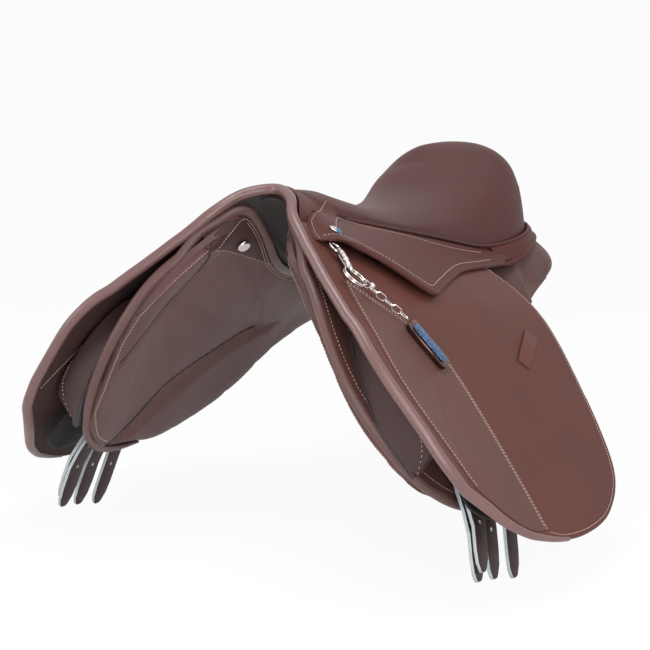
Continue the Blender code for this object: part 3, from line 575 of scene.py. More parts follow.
def thread(name, colour):
    """Waxed thread, with painted shade between its twisted strands: darker where its bump is low."""
    made, shader, spot = paint(name)
    twist = spot.add("ShaderNodeTexNoise", {}, {"Vector": spot, "Scale": 1600.0, "Detail": 2.0})
    feed(shader, "Base Color", twist.blend(tuple(c * 0.6 for c in colour[:3]) + (1,), colour))
    feed(shader, "Roughness", twist * 0.2 + 0.55)
    feed(shader, "Normal", spot.add("ShaderNodeBump", {}, {"Strength": 0.4, "Distance": 0.0002,
                                                          "Height": twist}))
    return made


bpy.ops.object.select_all(action="DESELECT")
bpy.ops.mesh.primitive_cylinder_add(vertices=6, radius=0.00045, depth=0.0018, end_fill_type="NGON",
                                    rotation=(0, math.pi / 2, 0))
stitch = bpy.context.object
bpy.ops.object.transform_apply(location=True, rotation=True, scale=True)
for end in (-1, 1):
    for part in list(stitch.data.vertices) + list(stitch.data.edges):
        part.select = False
    for face in stitch.data.polygons:
        face.select = face.normal.x * end > 0.9
    bpy.ops.object.mode_set(mode="EDIT")
    bpy.ops.mesh.select_mode(type="FACE")
    bpy.ops.mesh.extrude_region_move(TRANSFORM_OT_translate={"value": (0.0006 * end, 0, -0.00035)})
    bpy.ops.transform.resize(value=(1, 0.5, 0.5))
    bpy.ops.object.mode_set(mode="OBJECT")
stitch_shape = [v.co.copy() for v in stitch.data.vertices]
stitch_faces = [tuple(p.vertices) for p in stitch.data.polygons]
bpy.data.objects.remove(stitch)


def sew(name, spots, made):
    """A row of stitches along spots and facings, every copy of the one stitch in the row's own mesh."""
    corners, faces = [], []
    for (a, lift), (b, other) in zip(spots, spots[1:]):
        along = (b - a).normalized()
        facing = (lift - along * lift.dot(along)).normalized()
        turned = Matrix((along, facing.cross(along), facing)).transposed()
        first = len(corners)
        corners += [a.lerp(b, 0.5) + facing * 0.0002 + turned @ p for p in stitch_shape]
        faces += [[first + k for k in face] for face in stitch_faces]
    mesh = bpy.data.meshes.new(name)
    mesh.from_pydata(corners, [], faces)
    mesh.shade_smooth()
    mesh.materials.append(made)
    row = bpy.data.objects.new(name, mesh)
    bpy.context.scene.collection.objects.link(row)
    return row


panel_leather = leather("panel leather", lin(97, 72, 70), 640.0, 0.4, 0.4, 1.4, 0.13)
pale_thread = thread("pale thread", lin(196, 168, 152))
panel = skin_of("panel_left", "cushion_left", 3, 0.1)
panel.data.materials.append(panel_leather)
panel_front = [(0, -30), (10, -32), (58, -64), (142, -94), (186, -100), (286, -84), (352, -30)]


def full_front(u, v, h, under):
    """The panel's front stands forward of the tree, up to the sweat flap's roll."""
    share = max(0.0, 1 - (u - along(panel_front, v)) / 48) ** 1.5 if v < 352 else 0.0
    share *= min(1.0, max(0.0, (v - 8) / 40))
    return u - 9 * share, v, h - (7 if under else 1) * share


reshape(panel, full_front)
panel_faces = faces_of(panel.data)
panel_edge = [(-26, 19), (-56, 37), (-73, 63), (-90, 103), (-103, 144), (-109, 188), (-105, 238), (-93, 284),
              (-66, 322), (-28, 346)]
wedge_seam = [(-54, 46), (-45, 60), (-41, 86), (-47, 113), (-58, 138), (-75, 168), (-98, 206)]
rear_seam = [(-22, 348), (-2, 330), (14, 304), (31, 273), (61, 245), (103, 221), (137, 200), (156, 194)]
seams = []
for line in (panel_edge, wedge_seam, rear_seam):
    seams.append([spot for spot, facing in laid(panel_faces, run(line, 1.5), under=True)])
stuff(panel, seams[0] + seams[1] + seams[2], 0.006, 0.0012)
for spots in seams:
    press(panel, spots, 0.006, 0.0022)
panel_faces = faces_of(panel.data)
for name, line, gap in (("edge", beside(panel_edge, -3.2), 4.0), ("wedge", wedge_seam, 4.6)):
    row = sew(f"panel_{name}_stitch_left", laid(panel_faces, run(line, gap), under=True), pale_thread)
    both_sides(row, [], "saddle")
both_sides(panel, ["panel_left"])

smooth_leather = leather("smooth brown leather", lin(84, 49, 45), 1100.0, 0.12, 0.46, 1.5, 0.12)
arch_line = [(66, -56, -50), (51, -43, -37), (43, -34, -30.5), (36, -24, -26), (30.5, -15, -26.5), (27, -7, -32),
             (25.5, 3, -42), (26, 13, -52), (28, 26, -65), (32, 39, -78), (36, 52, -90), (43, 77, -104),
             (53, 114, -115), (57, 145, -121)]
arch_line = [slope_of(pommel_spot(*p)) for p in arch_line]
pocket_foot = [(64, -64, -60), (55, -50, -66), (51, -20, -75), (51, 4, -82), (49, 35, -91), (46, 60, -98)]
pocket_foot = [slope_of(pommel_spot(*p)) for p in pocket_foot]
pocket = drawn_over("pocket_left", run(arch_line[:11], 3), run(pocket_foot, 1), [panel_faces], 2.4, 0.0016, 16, True)
pocket_leather = leather("pocket leather", lin(69, 49, 47), 1000.0, 0.15, 0.44, 1.4, 0.14)
pocket.data.materials.append(pocket_leather)
pocket.data.materials.append(pocket_leather)
round_off(pocket, 1)
pocket_faces = faces_of(pocket.data)
rim_line = [p.xy for p in arch_line]
for name, line, gap in (("foot", beside([p.xy for p in pocket_foot], -2.5)[2:], 4.4),
                        ("rim", beside(rim_line, 7.5), 4.0), ("rim_inner", beside(rim_line[5:], 10.5), 4.0)):
    spots = []
    for point in run(line, gap):
        spots += laid(pocket_faces, [point], under=True) or laid(panel_faces, [point], under=True)
    both_sides(sew(f"pocket_{name}_stitch_left", spots, pale_thread), [], "saddle")
both_sides(pocket, ["point_pocket_left"])
chrome = bright_metal("chrome plate", lin(206, 198, 194), 0.1, 0.05)
stud = skin_of("pocket_stud_left", "stud_left", 2)
stud.data.materials.append(chrome)
both_sides(stud, ["pocket_stud_left"])


# Sweat flaps: a grained leather skin between the horse and the girth straps. A stuffed roll is sewn
# round its front and foot, and goes on over the head of the panel into the gullet.
def rolled(name, centres, radius, ends=(True, True), shares=None, loop=False):
    """A stuffed roll or bent wire round a line of centres, with rounded ends; shares thin it along the way."""
    shares = shares or [1.0] * len(centres)
    spots = list(zip(centres, shares))
    if ends[0]:
        out = (centres[0] - centres[1]).normalized() * radius * shares[0]
        spots = [(centres[0] + out * math.cos(a), shares[0] * math.sin(a)) for a in (0.1, 0.5, 1.0)] + spots
    if ends[1]:
        out = (centres[-1] - centres[-2]).normalized() * radius * shares[-1]
        spots += [(centres[-1] + out * math.cos(a), shares[-1] * math.sin(a)) for a in (1.0, 0.5, 0.1)]
    line = bpy.data.curves.new(name, "CURVE")
    line.dimensions = "3D"
    line.bevel_depth = radius
    line.bevel_resolution = 3
    line.use_fill_caps = True
    bead = line.splines.new("POLY")
    bead.use_cyclic_u = loop
    bead.points.add(len(spots) - 1)
    for point, (spot, share) in zip(bead.points, spots):
        point.co = (*spot, 1)
        point.radius = share
    piece = bpy.data.objects.new(name, line)
    bpy.context.scene.collection.objects.link(piece)
    pick(piece)
    bpy.ops.object.convert(target="MESH")
    piece = bpy.context.object
    piece.data.shade_smooth()
    return piece


grained_leather = leather("grained brown leather", lin(95, 63, 59), 620.0, 0.45, 0.46, 1.5)
sweat = skin_of("sweat_flap_left", "sweat_left", 3)
sweat.data.materials.append(grained_leather)
sweat_faces = faces_of(sweat.data)
sweat_edge = [(-74, 70), (-101, 132), (-111, 200), (-98, 267), (-68, 323), (-24, 361), (30, 379),
              (78, 385)]
inward = Vector((-math.sin(SLOPE), 0, -math.cos(SLOPE)))
centres = [side_spot(*p) for p in reversed(arch_line)]
centres += [spot + inward * 0.006 for spot, facing in laid(sweat_faces, run(sweat_edge, 14))]
centres = run(centres, 0.004)
shares = [min(1.0, 0.3 + 0.7 * (len(centres) - 1 - k) / 24) for k in range(len(centres))]
sweat_roll = rolled("sweat_roll_left", centres, 0.0058, shares=shares)
sweat_roll.data.materials.append(leather("sweat roll leather", lin(96, 70, 67), 620.0, 0.4, 0.38, 1.4, 0.3))
both_sides(sweat_roll, [], "saddle")
row = sew("sweat_stitch_left", laid(sweat_faces, run(beside(sweat_edge, -8), 4.4)), pale_thread)
both_sides(row, [], "saddle")
both_sides(sweat, ["sweat_flap_left"])
# Painted shade: a thin roll of dark lining leather lies along each panel's rear and wedge seams as a dark shadow line
# in the groove.
for name, line in (("rear", rear_seam), ("wedge", wedge_seam)):
    spots = [spot + facing * 0.0003 for spot, facing in laid(panel_faces, run(line, 2.5), under=True)]
    thin_roll = rolled(f"panel_{name}_piping_left", spots, 0.001)
    thin_roll.data.materials.append(lining_and_shade_leather)
    both_sides(thin_roll, [], "saddle")


# Girth straps: four strips of bridle leather on each side, sewn to the webs at their top, with a
# rounded tip, a pale blue-grey painted highlight on their cut edges and a row of punched holes.
def edge_highlight(name, colour):
    """Cut edge of leather in a pale colour that is a painted highlight along it."""
    made, shader, spot = paint(name)
    patches = spot.add("ShaderNodeTexNoise", {}, {"Vector": spot, "Scale": 300.0, "Detail": 4.0})
    feed(shader, "Base Color", patches.blend(tuple(c * 0.7 for c in colour[:3]) + (1,), colour))
    feed(shader, "Roughness", patches * 0.2 + 0.35)
    feed(shader, "Normal", spot.add("ShaderNodeBump", {}, {"Strength": 0.2, "Distance": 0.0003,
                                                          "Height": patches}))
    return made


strap_leather = leather("strap leather", lin(60, 45, 44), 1000.0, 0.15, 0.46, 1.6)
strap_edge_highlight = edge_highlight("dressed strap edge", lin(188, 196, 200))
for number, top_u, foot_v in ((1, 50, 444), (2, 52, 438), (3, 84, 450), (4, 128, 460)):
    strap = skin_of(f"girth_strap_{number}_left", f"strap_{number}_left", 0)
    strap_faces = faces_of(strap.data)
    ease_edges(strap, 0.0007)
    holes = [(top_u - 0.28 * (v - 108), v) for v in range(foot_v - 46, foot_v - 240, -27)]
    for k, (spot, facing) in enumerate(laid(strap_faces, holes)):
        bpy.ops.object.select_all(action="DESELECT")
        bpy.ops.mesh.primitive_cylinder_add(vertices=14, radius=0.0024, depth=0.03, location=spot,
                                            rotation=facing.to_track_quat("Z", "Y").to_euler())
        punch = bpy.context.object
        pick(strap)
        cut = strap.modifiers.new("hole", "BOOLEAN")
        cut.operation = "DIFFERENCE"
        cut.solver = "EXACT"
        cut.object = punch
        bpy.ops.object.modifier_apply(modifier=cut.name)
        bpy.data.objects.remove(punch)
    strap.data.materials.clear()
    strap.data.materials.append(strap_leather)
    strap.data.materials.append(strap_edge_highlight)
    # The side faces, the cut edges, take the pale colour as a painted highlight.
    for face in strap.data.polygons:
        face.material_index = 1 if abs(face.normal.dot(inward)) < 0.45 else 0
    pick(strap)
    bpy.ops.object.shade_smooth_by_angle(angle=math.radians(35))
    both_sides(strap, [f"girth_strap_{number}_left"])


# Buckle guards: a dark leather apron over the girth buckles, sewn along its top.
guard_leather = leather("guard leather", lin(40, 36, 36), 900.0, 0.2, 0.58, 1.6)
guard = skin_of("buckle_guard_left", "guard_left", 2)
guard.data.materials.append(guard_leather)
both_sides(guard, ["buckle_guard_left"])


# Knee blocks: shaped foam under a grained cover, held on the sweat flap by hook-and-loop, so that
# they can be set a little higher or lower.
block_leather = leather("block leather", lin(72, 53, 53), 640.0, 0.4, 0.48, 1.4)
hook_field = webbing("hook and loop", lin(84, 84, 90), lin(52, 52, 58))


def round_foot(u, v, h, under):
    """The block narrows to a blunt rounded foot."""
    share = max(0.0, (v - 250) / 90) ** 2
    return u + (-72 - u) * 0.42 * min(1.0, share), v - 9 * min(1.0, share), h


base = skin_of("block_base_left", "hook_field_left", 2)
reshape(base, round_foot)
base.data.materials.append(hook_field)
both_sides(base, ["block_base_left"])
block = skin_of("knee_block_left", "block_left", 3)
block.data.materials.append(block_leather)
reshape(block, round_foot)
block_faces = faces_of(block.data)
block_edge = [(-64, 152), (-78, 184), (-90, 222), (-96, 262), (-90, 302), (-78, 330)]
seam = [spot for spot, facing in laid(block_faces, run(block_edge, 1.5))]
stuff(block, seam, 0.002, 0.002)
press(block, seam, 0.004, 0.0012)
row = sew("block_stitch_left", laid(faces_of(block.data), run(block_edge, 4.2)), pale_thread)
both_sides(row, [], "block_left")
both_sides(block, ["knee_block_left"])


# Flaps: smooth bridle leather, with a grained knee piece lapped over the front and double-stitched
# to it, and a sewn keeper for the tail of the stirrup leather.
def lapped(name, tree, front, rear, rows, columns, lift, thick, belly=0.0):
    """A thin piece of leather lapped on another between two (u, v) lines; belly lets its foot hang lower."""
    a, b = run(front, 1.0), run(rear, 1.0)
    corners = []
    for j in range(rows + 1):
        t = j / rows
        p, q = a[round(t * (len(a) - 1))], b[round(t * (len(b) - 1))]
        for i in range(columns + 1):
            s = i / columns
            spot = p.lerp(q, s)
            spot.y += belly * math.sin(math.pi * s) * t ** 5
            found = laid(tree, [spot])
            place, facing = found[0] if found else (side_spot(spot.x, spot.y, -6), -inward)
            corners.append(place + facing * lift)
    step = columns + 1
    faces = []
    for j in range(rows):
        for i in range(columns):
            k = j * step + i
            faces.append((k, k + step, k + step + 1, k + 1))
    mesh = bpy.data.meshes.new(name)
    mesh.from_pydata(corners, [], faces)
    if mesh.polygons[len(faces) // 2].normal.dot(inward) > 0:
        mesh.flip_normals()
    mesh.shade_smooth()
    piece = bpy.data.objects.new(name, mesh)
    bpy.context.scene.collection.objects.link(piece)
    pick(piece)
    wall = piece.modifiers.new("thickness", "SOLIDIFY")
    wall.thickness = thick
    wall.offset = -1
    bpy.ops.object.modifier_apply(modifier=wall.name)
    return piece


flap_leather = leather("waxed flap leather", lin(95, 56, 50), 1100.0, 0.1, 0.44, 1.5, 0.13)
flap = skin_of("flap_left", "flap_leather_left", 3)
flap.data.materials.append(flap_leather)
flap.data.materials.append(leather("flesh side of the flap", lin(64, 46, 44), 900.0, 0.4, 0.62, 1.2, 0.12))
for face in flap.data.polygons:
    face.material_index = 1 if face.normal.dot(inward) > 0.35 else 0
flap_faces = faces_of(flap.data)
knee_front = [(-62, 100), (-74, 128), (-88, 166), (-99, 210), (-100, 250), (-94, 290), (-83, 335), (-76, 362)]
knee_seam = [(-60, 104), (-44, 135), (-22, 160), (2, 188), (18, 232), (18, 300), (11, 380), (4, 436)]
knee = lapped("knee_piece_left", flap_faces, knee_front, knee_seam, 100, 26, 0.001, 0.0014, 20)
crease_line = [(-25, 214), (-32, 240), (-50, 268), (-66, 300), (-72, 327), (-72, 348)]
press(knee, [spot for spot, facing in laid(flap_faces, run(crease_line, 1.5))], 0.009, 0.0009)
knee.data.materials.append(grained_leather)
knee_faces = faces_of(knee.data)
for name, tree, line, gap in (
        ("seam", knee_faces, beside(knee_seam, 2.2), 4.0),
        ("seam_rear", flap_faces, beside(knee_seam, -2.6), 4.0),
        ("front", knee_faces, beside(knee_front, -3.0), 4.2)):
    row = sew(f"knee_{name}_stitch_left", laid(tree, run(line, gap)), pale_thread)
    both_sides(row, [], "flap_body_left")
flap_edge = [(262, 110), (274, 150), (279, 208), (266, 284), (239, 366), (212, 414), (182, 437), (140, 453),
             (88, 457), (36, 451), (8, 440)]
row = sew("flap_edge_stitch_left", laid(flap_faces, run(flap_edge, 4.0)), pale_thread)
both_sides(row, [], "flap_body_left")
under_seam = laid(flap_faces, run([(-104, 306), (-92, 268), (-80, 235)], 4.0), under=True)
both_sides(sew("flap_under_stitch_left", under_seam, pale_thread), [], "flap_body_left")
both_sides(knee, [], "flap_body_left")
both_sides(flap, ["flap_left"])
keeper = skin_of("flap_keeper_left", "keeper_left", 0)
ease_edges(keeper, 0.0006)
keeper.data.materials.append(flap_leather)
keeper.data.materials.append(lining_and_shade_leather)
keeper.data.materials.append(edge_highlight("keeper edge highlight", lin(158, 122, 114)))
# Painted light in the keeper's slot: front faces take the dark lining leather as a painted shadow, lower faces the
# pale edge colour as a painted highlight.
for face in keeper.data.polygons:
    if abs(face.normal.dot(inward)) < 0.6:
        face.material_index = 2 if face.normal.z < -0.35 else (1 if face.normal.y < 0 else 0)
both_sides(keeper, ["flap_keeper_left"])


# Front rolls: one stuffed roll each side, from the crown of the pommel down the front of the flap.
# It is fixed to the saddle over the arch and sewn to the flap below.
roll_faces = faces_of(frame["nodes"]["flap_roll_left"].data)
roll_line = [(-60, 38), (-66, 51), (-97, 122), (-122, 193), (-120.5, 260), (-111, 324), (-92, 361)]
centres = [pommel_spot(-31, -20, -8), pommel_spot(0, -2, -2), pommel_spot(31, -20, -8),
           pommel_spot(51, -46.5, -25)]
centres += [spot + inward * 0.006 for spot, facing in laid(roll_faces, run(roll_line, 14))]
for point, out_u, out_v in (((-69, 380), -0.83, 0.55), ((-51, 405), -0.7, 0.7), ((-28, 425), -0.55, 0.83),
                            ((-10, 435), -0.4, 0.9), ((16, 446), -0.3, 0.95), ((38, 453), -0.2, 0.98)):
    spot, facing = laid(flap_faces, [point])[0]
    edge_gap = 7 - 0.04 * (point[0] + 69)
    centres.append(spot + inward * 0.002 + side_spot(out_u * edge_gap, out_v * edge_gap, 0) - side_spot(0, 0, 0))
bead = [spot for spot in run(centres, 0.004) if spot.x > 0.0006]
bead.insert(0, pommel_spot(0, -2, -2))
shares = [min(1.0, 0.4 + 0.6 * (len(bead) - 1 - k) / 34) for k in range(len(bead))]
front_roll = rolled("front_roll_left", bead, 0.0062, (False, True), shares)
front_roll.data.materials.append(leather("roll leather", lin(110, 79, 76), 620.0, 0.35, 0.33, 1.5, 0.6))


def bend_between(piece, start, end):
    """Make the off side's twin of a piece and bake the transforms of both."""
    twin = opposite(piece)
    for made, side, sign in ((piece, "left", 1), (twin, "right", -1)):
        start.x * sign
        end.x * sign
        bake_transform(made)
    return twin


twin = bend_between(front_roll, pommel_spot(51, -46.5, -25), pommel_spot(80, -62, -58))
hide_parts("flap_roll_left", "pommel_roll")
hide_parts("flap_roll_right")


# Pommel cover: one piece of leather drawn over the front of the seat and the head of the tree,
# held under the front rolls and under the skirts.
cover_front = run([(-57, -41), (-36, -14.5), (0, 4), (36, -14.5), (57, -41)], 0.5)
cover_back = run([(-52, 50), (-30, 60), (0, 62), (30, 60), (52, 50)], 0.5)
floor_trees = [faces_of(frame["nodes"][node].data) for node in ("pommel_facing", "seat_cover")]
roof_trees = [faces_of(frame["nodes"][node].data) for node in ("skirt_left", "skirt_right")]
wide, deep = 36, 18
plan, low, high = {}, {}, {}
for j in range(deep + 1):
    for i in range(wide + 1):
        s = i / wide
        p = cover_front[round(s * (len(cover_front) - 1))]
        q = cover_back[round(s * (len(cover_back) - 1))]
        spot = p.lerp(q, j / deep)
        plan[i, j] = spot
        above, below = pommel_spot(spot.x, spot.y, 60), pommel_spot(spot.x, spot.y, -160)
        hits = [tree.ray_cast(above, Vector((0, 0, -1)))[0] for tree in floor_trees]
        hits = [hit.z for hit in hits if hit]
        low[i, j] = max(hits) + 0.0006 if hits else -1.0
        roof = [tree.ray_cast(below, Vector((0, 0, 1)))[0] for tree in roof_trees]
        roof = [hit.z for hit in roof if hit]
        high[i, j] = min(roof) - 0.0012 if roof else 1.0
height = {}
for (i, j), spot in plan.items():
    s = abs(2 * i / wide - 1)
    front_z = pommel_spot(0, 0, 0.6 - 20.5 * s ** 2.2).z
    side_z = pommel_spot(0, 0, -12 - 25 * s ** 1.5).z
    height[i, j] = front_z + (side_z - front_z) * j / deep
    height[i, j] = max(low[i, j], min(high[i, j], height[i, j]))
for j in range(deep + 1):
    for i in (0, wide):
        height[i, j] = min(high[i, j], pommel_spot(0, 0, -47).z)
for turn_number in range(260):
    for j in range(1, deep):
        for i in range(1, wide):
            mean = (height[i - 1, j] + height[i + 1, j] + height[i, j - 1] + height[i, j + 1]) / 4
            height[i, j] = max(low[i, j], min(high[i, j], mean))
rows = []
for j in range(deep + 1):
    rows.append([(plan[i, j].x * 0.001, (plan[i, j].y - 180) * 0.001, height[i, j]) for i in range(wide + 1)])
cover = sheet_of("pommel_cover", rows, 0.0016)
cover.data.materials.append(smooth_leather)
cover.data.materials.append(lining_and_shade_leather)
round_off(cover, 1)
cover_faces = faces_of(cover.data)
stand_in(cover, ["pommel_facing"])


# Seat: soft leather over foam, one deep dish, with a piped welt round its edge and a band below the
# welt round the cantle.
seat_leather = leather("seat leather", lin(86, 57, 55), 800.0, 0.2, 0.46, 1.3, 0.14)
seat = skin_of("seat_cover", "seat", 3)
work = bmesh.new()
work.from_mesh(seat.data)
work.normal_update()
dome = [v for v in work.verts if v.normal.z > 0.25]
for turn_number in range(30):
    bmesh.ops.smooth_vert(work, verts=dome, factor=0.5, use_axis_x=True, use_axis_y=True, use_axis_z=True)
work.normal_update()
for vertex in dome:
    vertex.co += vertex.normal * 0.003 * min(1.0, max(0.0, (vertex.normal.z - 0.25) / 0.4))
work.to_mesh(seat.data)
work.free()
seat.data.materials.append(seat_leather)
seat_faces = faces_of(seat.data)
stand_in(seat, ["seat_cover", "seat_foam"])
welt = skin_of("seat_welt", "welt", 2)
welt.data.materials.append(seat_leather)
stand_in(welt, ["seat_welt"])
edge = [(77.6, 250, -81.4), (92.5, 330, -100), (110, 390, -96), (98, 446, -88), (56, 478, -84), (0, 488, -82)]
half = run([(64, 180, -65)] + edge, 7)
band = half + [Vector((-p.x, p.y, p.z)) for p in reversed(half[:-1])]
rows = []
for drop, spread in ((2, 0.5), (9, 1.5), (17, 3), (26, 5)):
    row = []
    for p in band:
        away = Vector((p.x, max(0.0, p.y - 380), 0)).normalized()
        row.append(pommel_spot(*(p + away * spread - Vector((0, 0, drop)))))
    rows.append(row)
under_band = sheet_of("under_band", rows, 0.0012)
under_band.data.materials.append(smooth_leather)
under_band.data.materials.append(lining_and_shade_leather)
stand_in(under_band, [], "saddle")
welt_line = KDTree(len(band))
for k, p in enumerate(band):
    welt_line.insert(pommel_spot(*p), k)
welt_line.balance()


def drawn_in(spot):
    """The band is drawn in towards the welt, most at the rear, where it is narrowest."""
    near = welt_line.find(spot)[0]
    share = min(1.0, max(0.0, (spot.y - 0.151) / 0.09))
    share = share * share * (3 - 2 * share)
    away = spot - near
    side, drop = 0.74 - 0.12 * share, 1 - 0.4 * share
    return near + Vector((away.x * side, away.y * side, away.z * drop))


cantle = skin_of("cantle_skirt", "cantle_band", 2)
for vertex in cantle.data.vertices:
    vertex.co = drawn_in(vertex.co)
cantle.data.materials.append(smooth_leather)
cantle_faces = faces_of(cantle.data)
stand_in(cantle, ["cantle_skirt"])
centres = []
for p in band:
    if p.y > 331:
        away = Vector((p.x, max(0.0, p.y - 380), 0)).normalized()
        share = min(1.0, (p.y - 330) / 110)
        flare = 27 - 18 * share * share * (3 - 2 * share)
        centres.append(drawn_in(pommel_spot(*(p + away * (8.2 + flare) - Vector((0, 0, 22))))))
band_start = centres[0]
band_hem = rolled("band_hem", run(centres, 0.004), 0.0032)
band_hem.data.materials.append(smooth_leather)
stand_in(band_hem, [], "saddle")

# Rear gussets: the plump ends of the panels, a strip of panel leather let in between the panel's
# outer edge and the cantle band and stuffed like the rest.
low_edge = []
for u in range(296, 446, 10):
    near = [slope_of(v.co) for v in panel.data.vertices if abs(v.co.y * 1000 + 180 - u) < 6]
    low_edge.append(side_spot(*max(near, key=lambda p: p.y)) if near else low_edge[-1])
low_edge += [low_edge[-1] + Vector((-0.018, 0.010, 0.001)), low_edge[-1] + Vector((-0.042, 0.014, 0.001))]
low_edge = run(low_edge, 0.006)
high_edge = run([pommel_spot(*p) for p in ((90, 296, -116), (98, 334, -120), (112, 380, -110), (108, 428, -101), (94, 450, -97),
                                           (66, 464, -95))], 0.001)
rows = []
for k, low_spot in enumerate(low_edge):
    high_spot = high_edge[round(k * (len(high_edge) - 1) / (len(low_edge) - 1))]
    away = Vector((1.0, max(0.0, low_spot.y - 0.2) * 12, 0.1)).normalized()
    full = 0.004 + 0.014 * min(1.0, max(0.0, (low_spot.y - 0.16) / 0.07))
    rows.append([low_spot.lerp(high_spot, t / 10) + away * full * math.sin(math.pi * (t / 10) ** 0.8)
                 for t in range(11)])
gusset = sheet_of("rear_gusset_left", rows, 0.0014, Vector((1, 0, 0)))
gusset.data.materials.append(panel_leather)
gusset.data.materials.append(lining_and_shade_leather)
round_off(gusset, 1)
both_sides(gusset, [], "saddle")
thin_roll = rolled("gusset_piping_left", low_edge, 0.0022)
thin_roll.data.materials.append(panel_leather)
both_sides(thin_roll, [], "saddle")


# Skirts: smooth leather over the stirrup bars, with a rolled hem, sewn along the seat. A tongue sewn on
# the front of each laps over the pommel cover, and a pommel nail holds it.
skirt = skin_of("skirt_left", "skirt_leather_left", 3)


def close_front(u, v, h, under):
    """The skirt's front corner lies close on the flap, behind the front roll."""
    share = min(1.0, max(0.0, (-22 - u) / 22))
    return u + 5 * share * share, v, h - 6 * share * share


reshape(skirt, close_front)
skirt.data.materials.append(smooth_leather)
skirt_faces = faces_of(skirt.data)
inner_trees = [cover_faces, flap_faces, seat_faces]
tongue_edge = [(50, -10), (38, -4), (22, 2), (6, 6), (-10, 10), (-24, 16), (-36, 26), (-43, 36), (-46, 45)]
upper = []
for point in run(tongue_edge, 3):
    found = [slope_of(hit[0]).z + 0.2 for tree in inner_trees for hit in laid(tree, [point])]
    found += [slope_of(hit[0]).z + 0.8 for hit in laid(skirt_faces, [point])]
    upper += [Vector((point.x, point.y, max(found)))] if found else []
lower = []
for point in run([(66, 14), (50, 21), (24, 29), (3, 39), (-12, 48), (-19, 55), (-26, 60)], 1):
    found = [slope_of(hit[0]).z + 0.8 for tree in [skirt_faces] + inner_trees for hit in laid(tree, [point])]
    lower += [Vector((point.x, point.y, max(found)))] if found else []
tongue = drawn_over("whole_tongue", upper, lower, [skirt_faces] + inner_trees, 0.8, 0.0014, 12)
tongue.data.materials.append(smooth_leather)
tongue.data.materials.append(smooth_leather)
round_off(tongue, 1)
tongue_faces = faces_of(tongue.data)
hem_line = [(-40, 51), (-34, 54), (-14, 66), (14, 96), (40, 130), (70, 149), (110, 142), (190, 127), (260, 128),
            (326, 129)]
centres = []
for point in run(hem_line, 4):
    found = laid(skirt_faces, [point]) or laid(tongue_faces, [point])
    centres += [spot + inward * 0.0024 for spot, facing in found]
centres += run([centres[-1], centres[-1].lerp(band_start, 0.5), band_start], 0.004)[1:]
shares = [min(1.0, 0.35 + 0.08 * k) for k in range(len(centres))]
hem = rolled("skirt_hem_left", centres, 0.0032, shares=shares)
hem.data.materials.append(smooth_leather)
both_sides(hem, [], "skirt_body_left")
for name, line, gap in (
        ("hem", [(-38, 44), (-8, 58), (22, 90), (46, 121), (71, 140), (108, 134), (188, 119), (260, 120),
                 (326, 121)], 4.2),
        ("top", [(-14, 44), (2, 35), (22, 26), (50, 19), (70, 25), (90, 36), (159, 57), (200, 76), (248, 95),
                 (300, 107), (322, 110)], 4.2)):
    spots = []
    for point in run(line, gap):
        spots += laid(tongue_faces, [point]) or laid(skirt_faces, [point])
    both_sides(sew(f"skirt_{name}_stitch_left", spots, pale_thread), [], "skirt_body_left")


def part_of(piece, name, spot, facing):
    """Copy of a piece without what lies beyond a plane, its cut closed."""
    part = bpy.data.objects.new(name, piece.data.copy())
    bpy.context.scene.collection.objects.link(part)
    pick(part)
    bpy.ops.object.mode_set(mode="EDIT")
    bpy.ops.mesh.select_all(action="SELECT")
    bpy.ops.mesh.bisect(plane_co=spot, plane_no=facing, use_fill=True, clear_outer=True)
    bpy.ops.object.mode_set(mode="OBJECT")
    return part


start, middle, end = [side_spot(0.1 * reach, 0.995 * reach, -25) for reach in (4, 13, 22)]
lap = (end - start).normalized()
front_row = laid(tongue_faces, run(beside(tongue_edge, -4.0), 4.2))
inner_row = [found for found in front_row if (found[0] - middle).dot(lap) < 0]
outer_row = [found for found in front_row if (found[0] - middle).dot(lap) > -0.003]
for name, row, way, first, second, near, far in (
        ("root", inner_row, lap, "saddle", "flap_body_left", start, middle),
        ("lap", outer_row, -lap, "flap_body_left", "skirt_body_left", middle, end)):
    bend_between(part_of(tongue, f"tongue_{name}_left", middle, way), near, far)
    bend_between(sew(f"tongue_{name}_stitch_left", row, pale_thread), near, far)
bpy.data.objects.remove(tongue)
tail_lines = []
for line in ([(296, 101), (326, 101), (356, 97)], [(296, 128), (326, 128), (356, 126)]):
    spots = []
    for point in run(line, 3):
        found = [slope_of(hit[0]).z + 0.7 for tree in (skirt_faces, cantle_faces) for hit in laid(tree, [point])]
        spots += [Vector((point.x, point.y, max(found)))] if found else []
    tail_lines.append(spots)
tail = drawn_over("skirt_tail_left", tail_lines[0], tail_lines[1], [skirt_faces, cantle_faces], 0.7, 0.001, 10)
tail.data.materials.append(smooth_leather)
tail.data.materials.append(smooth_leather)
both_sides(tail, [], "skirt_body_left")
both_sides(skirt, ["skirt_left"])
enamel = bright_metal("blue enamel", lin(90, 128, 160), 0.12, 0.05)
nail = skin_of("pommel_nail_left", "nail_left", 2)
nail.data.materials.append(chrome)
crown = max(nail.data.vertices, key=lambda v: v.co.dot(-inward))
bpy.ops.object.select_all(action="DESELECT")
bpy.ops.mesh.primitive_uv_sphere_add(segments=24, ring_count=12, radius=0.0042, location=crown.co,
                                     rotation=(-inward).to_track_quat("Z", "Y").to_euler())
lens = bpy.context.object
lens.name = "nail_lens_left"
lens.scale = (1, 1, 0.2)
bpy.ops.object.transform_apply(location=True, rotation=True, scale=True)
bpy.ops.object.mode_set(mode="EDIT")
bpy.ops.mesh.select_all(action="SELECT")
bpy.ops.mesh.bisect(plane_co=crown.co + inward * 0.0004, plane_no=inward, use_fill=True, clear_outer=True)
bpy.ops.object.mode_set(mode="OBJECT")
lens.data.shade_smooth()
lens.data.materials.append(enamel)
